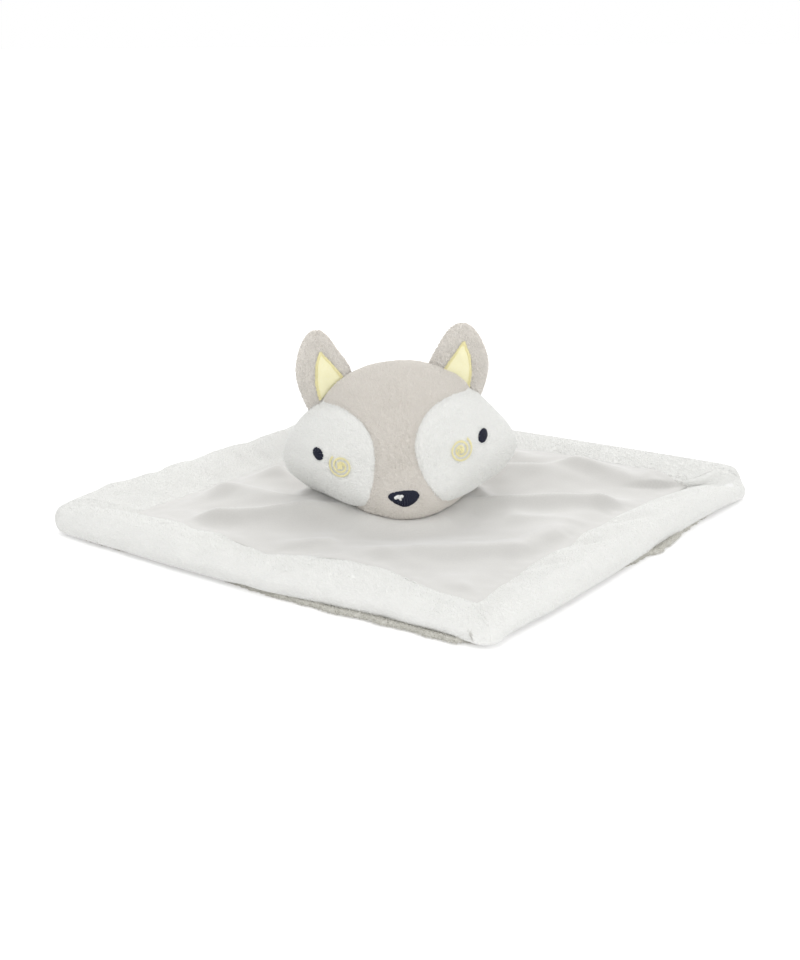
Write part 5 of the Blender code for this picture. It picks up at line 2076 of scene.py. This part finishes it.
def across_shape(loop, upright, seed, high=ON_CLOTH, points=7):
    """Parallel threads that fill an outline in X and Z, side by side."""
    rng = np.random.default_rng(seed)
    fixed = 0 if upright else 1
    low, top = loop[:, fixed].min(), loop[:, fixed].max()
    paths = []
    for at in np.arange(low + FACE_PITCH / 2, top, FACE_PITCH):
        crossings = crossings_of(loop, fixed, at)
        if len(crossings) < 2:
            continue
        first = min(crossings) - rng.uniform(0, RAGGED)
        last = max(crossings) + rng.uniform(0, RAGGED)
        path = []
        for share in np.linspace(0, 1, points):
            along = first + (last - first) * share
            x, z = (at, along) if upright else (along, at)
            end_dip = 0.0006 * (abs(2 * share - 1) ** 6)
            path.append(tuple(on_surface(cover_surface, x, z, high - end_dip)))
        paths.append(path)
    return paths


THREADS = {
    "navy_thread": navy_thread,
    "yellow_thread": yellow_thread,
    "white_thread": white_thread,
}


def embroider(name, node, slot, paths, radius=0.0002, sides=6):
    """Threads on the head, in the colour of their slot."""
    piece = lay_threads(name, paths, radius, THREADS[slot], sides)
    return dress(piece, "head", slot, node)


print("threads", round(FACE_PITCH / MM, 2), "mm apart")

# %% Eyes


def oval(centre, half, tilt):
    """An oval's outline, turned by its tilt in degrees."""
    angles = np.linspace(0, 2 * math.pi, 40, endpoint=False)
    x, z = turned_by(half[0] * np.cos(angles), half[1] * np.sin(angles), math.radians(tilt))
    return np.column_stack((centre[0] + x, centre[1] + z))


def stitch_eye(number, side, word):
    loop = oval(EYES[number], EYE_HALF, EYE_TILTS[number])
    paths = across_shape(loop, False, 70 + side)
    embroider(f"eye_stitches_{word}", f"eye_{word}", "navy_thread", paths)


print("eyes:", [2 * v / MM for v in EYE_HALF], "mm")

# %% [markdown]
# A spiral is a narrow band of short stitches across its own path. A few loose threads in all
# directions fill its middle.

# %% Spirals
SWIRL_TURNS = 2.4
SWIRL_START = 0.0008  # the radius at which a spiral starts


def across_spiral(centre, side, rng):
    """Short threads across the spiral's path, from its middle outwards."""
    whole = SWIRL_TURNS * 2 * math.pi
    paths = []
    angle = 0.0
    while angle < whole:
        radius = SWIRL_START + (SWIRL_RADIUS - SWIRL_START) * angle / whole
        turn = side * angle - math.pi / 2
        way = np.array((math.cos(turn), math.sin(turn)))
        half = rng.uniform(0.00032, 0.00048)
        path = []
        for step in np.linspace(-1, 1, 4):
            x, z = centre + way * (radius + half * step)
            high = ON_CLOTH + 0.0002 * (1 - step * step)
            path.append(tuple(on_surface(cover_surface, x, z, high)))
        paths.append(path)
        angle += THREAD_PITCH / max(radius, SWIRL_START)
    return paths


def loose_middle(centre, rng):
    """Threads in all directions over a spiral's middle."""
    paths = []
    for _ in range(18):
        start, end = rng.uniform(-0.0017, 0.0017, (2, 2))
        path = []
        for step in np.linspace(0, 1, 4):
            x, z = centre + start + (end - start) * step
            path.append(tuple(on_surface(cover_surface, x, z, ON_CLOTH + 0.0003)))
        paths.append(path)
    return paths


def stitch_swirl(number, side, word):
    rng = np.random.default_rng(80 + side)
    paths = across_spiral(SWIRLS[number], side, rng) + loose_middle(SWIRLS[number], rng)
    name = f"swirl_stitches_{word}"
    embroider(name, f"cheek_swirl_{word}", "yellow_thread", paths, 0.00017, 5)


for number, (side, word) in enumerate(LEFT_AND_RIGHT):
    stitch_eye(number, side, word)
    stitch_swirl(number, side, word)

# %% [markdown]
# The nose is filled with upright threads, and its small white highlight lies on top of them. A
# white patch on the nose itself would have no height, so the highlight has threads of its own.

# %% Nose and its highlight
SHINE_LINE = (
    (-5.4, -11.9), (-4.6, -11.1), (-3.2, -10.7), (-1.6, -10.7), (-1.0, -11.3), (-1.5, -11.9),
    (-2.2, -12), (-2.1, -13), (-2.7, -13.1), (-3.4, -12.3), (-4.6, -12.5),
)

paths = across_shape(NOSE_LOOP, True, 90, points=11)
embroider("nose_stitches", "nose", "navy_thread", paths)
paths = across_shape(smooth_loop(SHINE_LINE, 3), True, 91, ON_CLOTH + 0.0004, 5)
embroider("nose_highlight_stitches", "nose_highlight", "white_thread", paths)

# %% [markdown]
# ## Neck
#
# A ring of stitches holds the head on the panel. Inside it a short sleeve of cloth is gathered,
# which only shows when the head rocks back. A stiff tube would tear open there. Here the sleeve is
# only shaped round the ring and left where it stands, joined to no body.

# %% The ring of stitches
NECK_PLACE = Vector((-0.007357, -0.007961, 0.0051))
NECK_RADIUS = 0.0200
NECK_STITCHES = 40


def on_ring(radius, angle, height):
    """A place on a circle round the neck."""
    x, y = NECK_PLACE.x + radius * math.cos(angle), NECK_PLACE.y + radius * math.sin(angle)
    return x, y, height


rng = np.random.default_rng(99)
paths = []
for k in range(NECK_STITCHES):
    turn = 2 * math.pi * (k + rng.uniform(-0.15, 0.15)) / NECK_STITCHES
    path = []
    for share in np.linspace(-1, 1, 5):
        arch = 0.0006 * (1 - share * share)
        path.append(on_ring(NECK_RADIUS + 0.0012 * share, turn + share * 0.05, 0.0049 + arch))
    paths.append(path)
neck = lay_threads("neck_stitches", paths, 0.0003, white_thread)
dress(neck, "neck", "white_thread", "neck_seam_thread")

# %% [markdown]
# The sleeve is a grid that is rolled up round the ring. Waves round it are its gathers, and three
# waves up its height are the pleats that open when the head lifts.

# %% The gathered sleeve
SLEEVE_LOW, SLEEVE_HIGH = 0.0036, 0.0074
SLEEVE_AROUND, SLEEVE_ROWS = 128, 24

bpy.ops.mesh.primitive_grid_add(
    x_subdivisions=SLEEVE_AROUND, y_subdivisions=SLEEVE_ROWS, size=1
)
sleeve = place_applied(added("neck_sleeve"))
spots = []
for u, v, _ in points_of(sleeve) + np.array((0.5, 0.5, 0)):
    angle = 2 * math.pi * u
    gather = 0.0003 * math.cos(32 * angle) + 0.0002 * math.cos(13 * angle + 1)
    pleat = 0.0008 * math.cos(3 * 2 * math.pi * v)
    height = SLEEVE_LOW + (SLEEVE_HIGH - SLEEVE_LOW) * v
    spots.append(on_ring(NECK_RADIUS - 0.0022 + gather + pleat, angle, height))
edit_mesh(move_points(sleeve, spots), FUSED, OUTWARD)
with_modifier(sleeve, "SOLIDIFY", thickness=0.0003, offset=-1)
smooth_and_dye(sleeve, grey_velour)
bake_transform(sleeve)
print("neck sleeve:", len(sleeve.data.polygons), "faces")
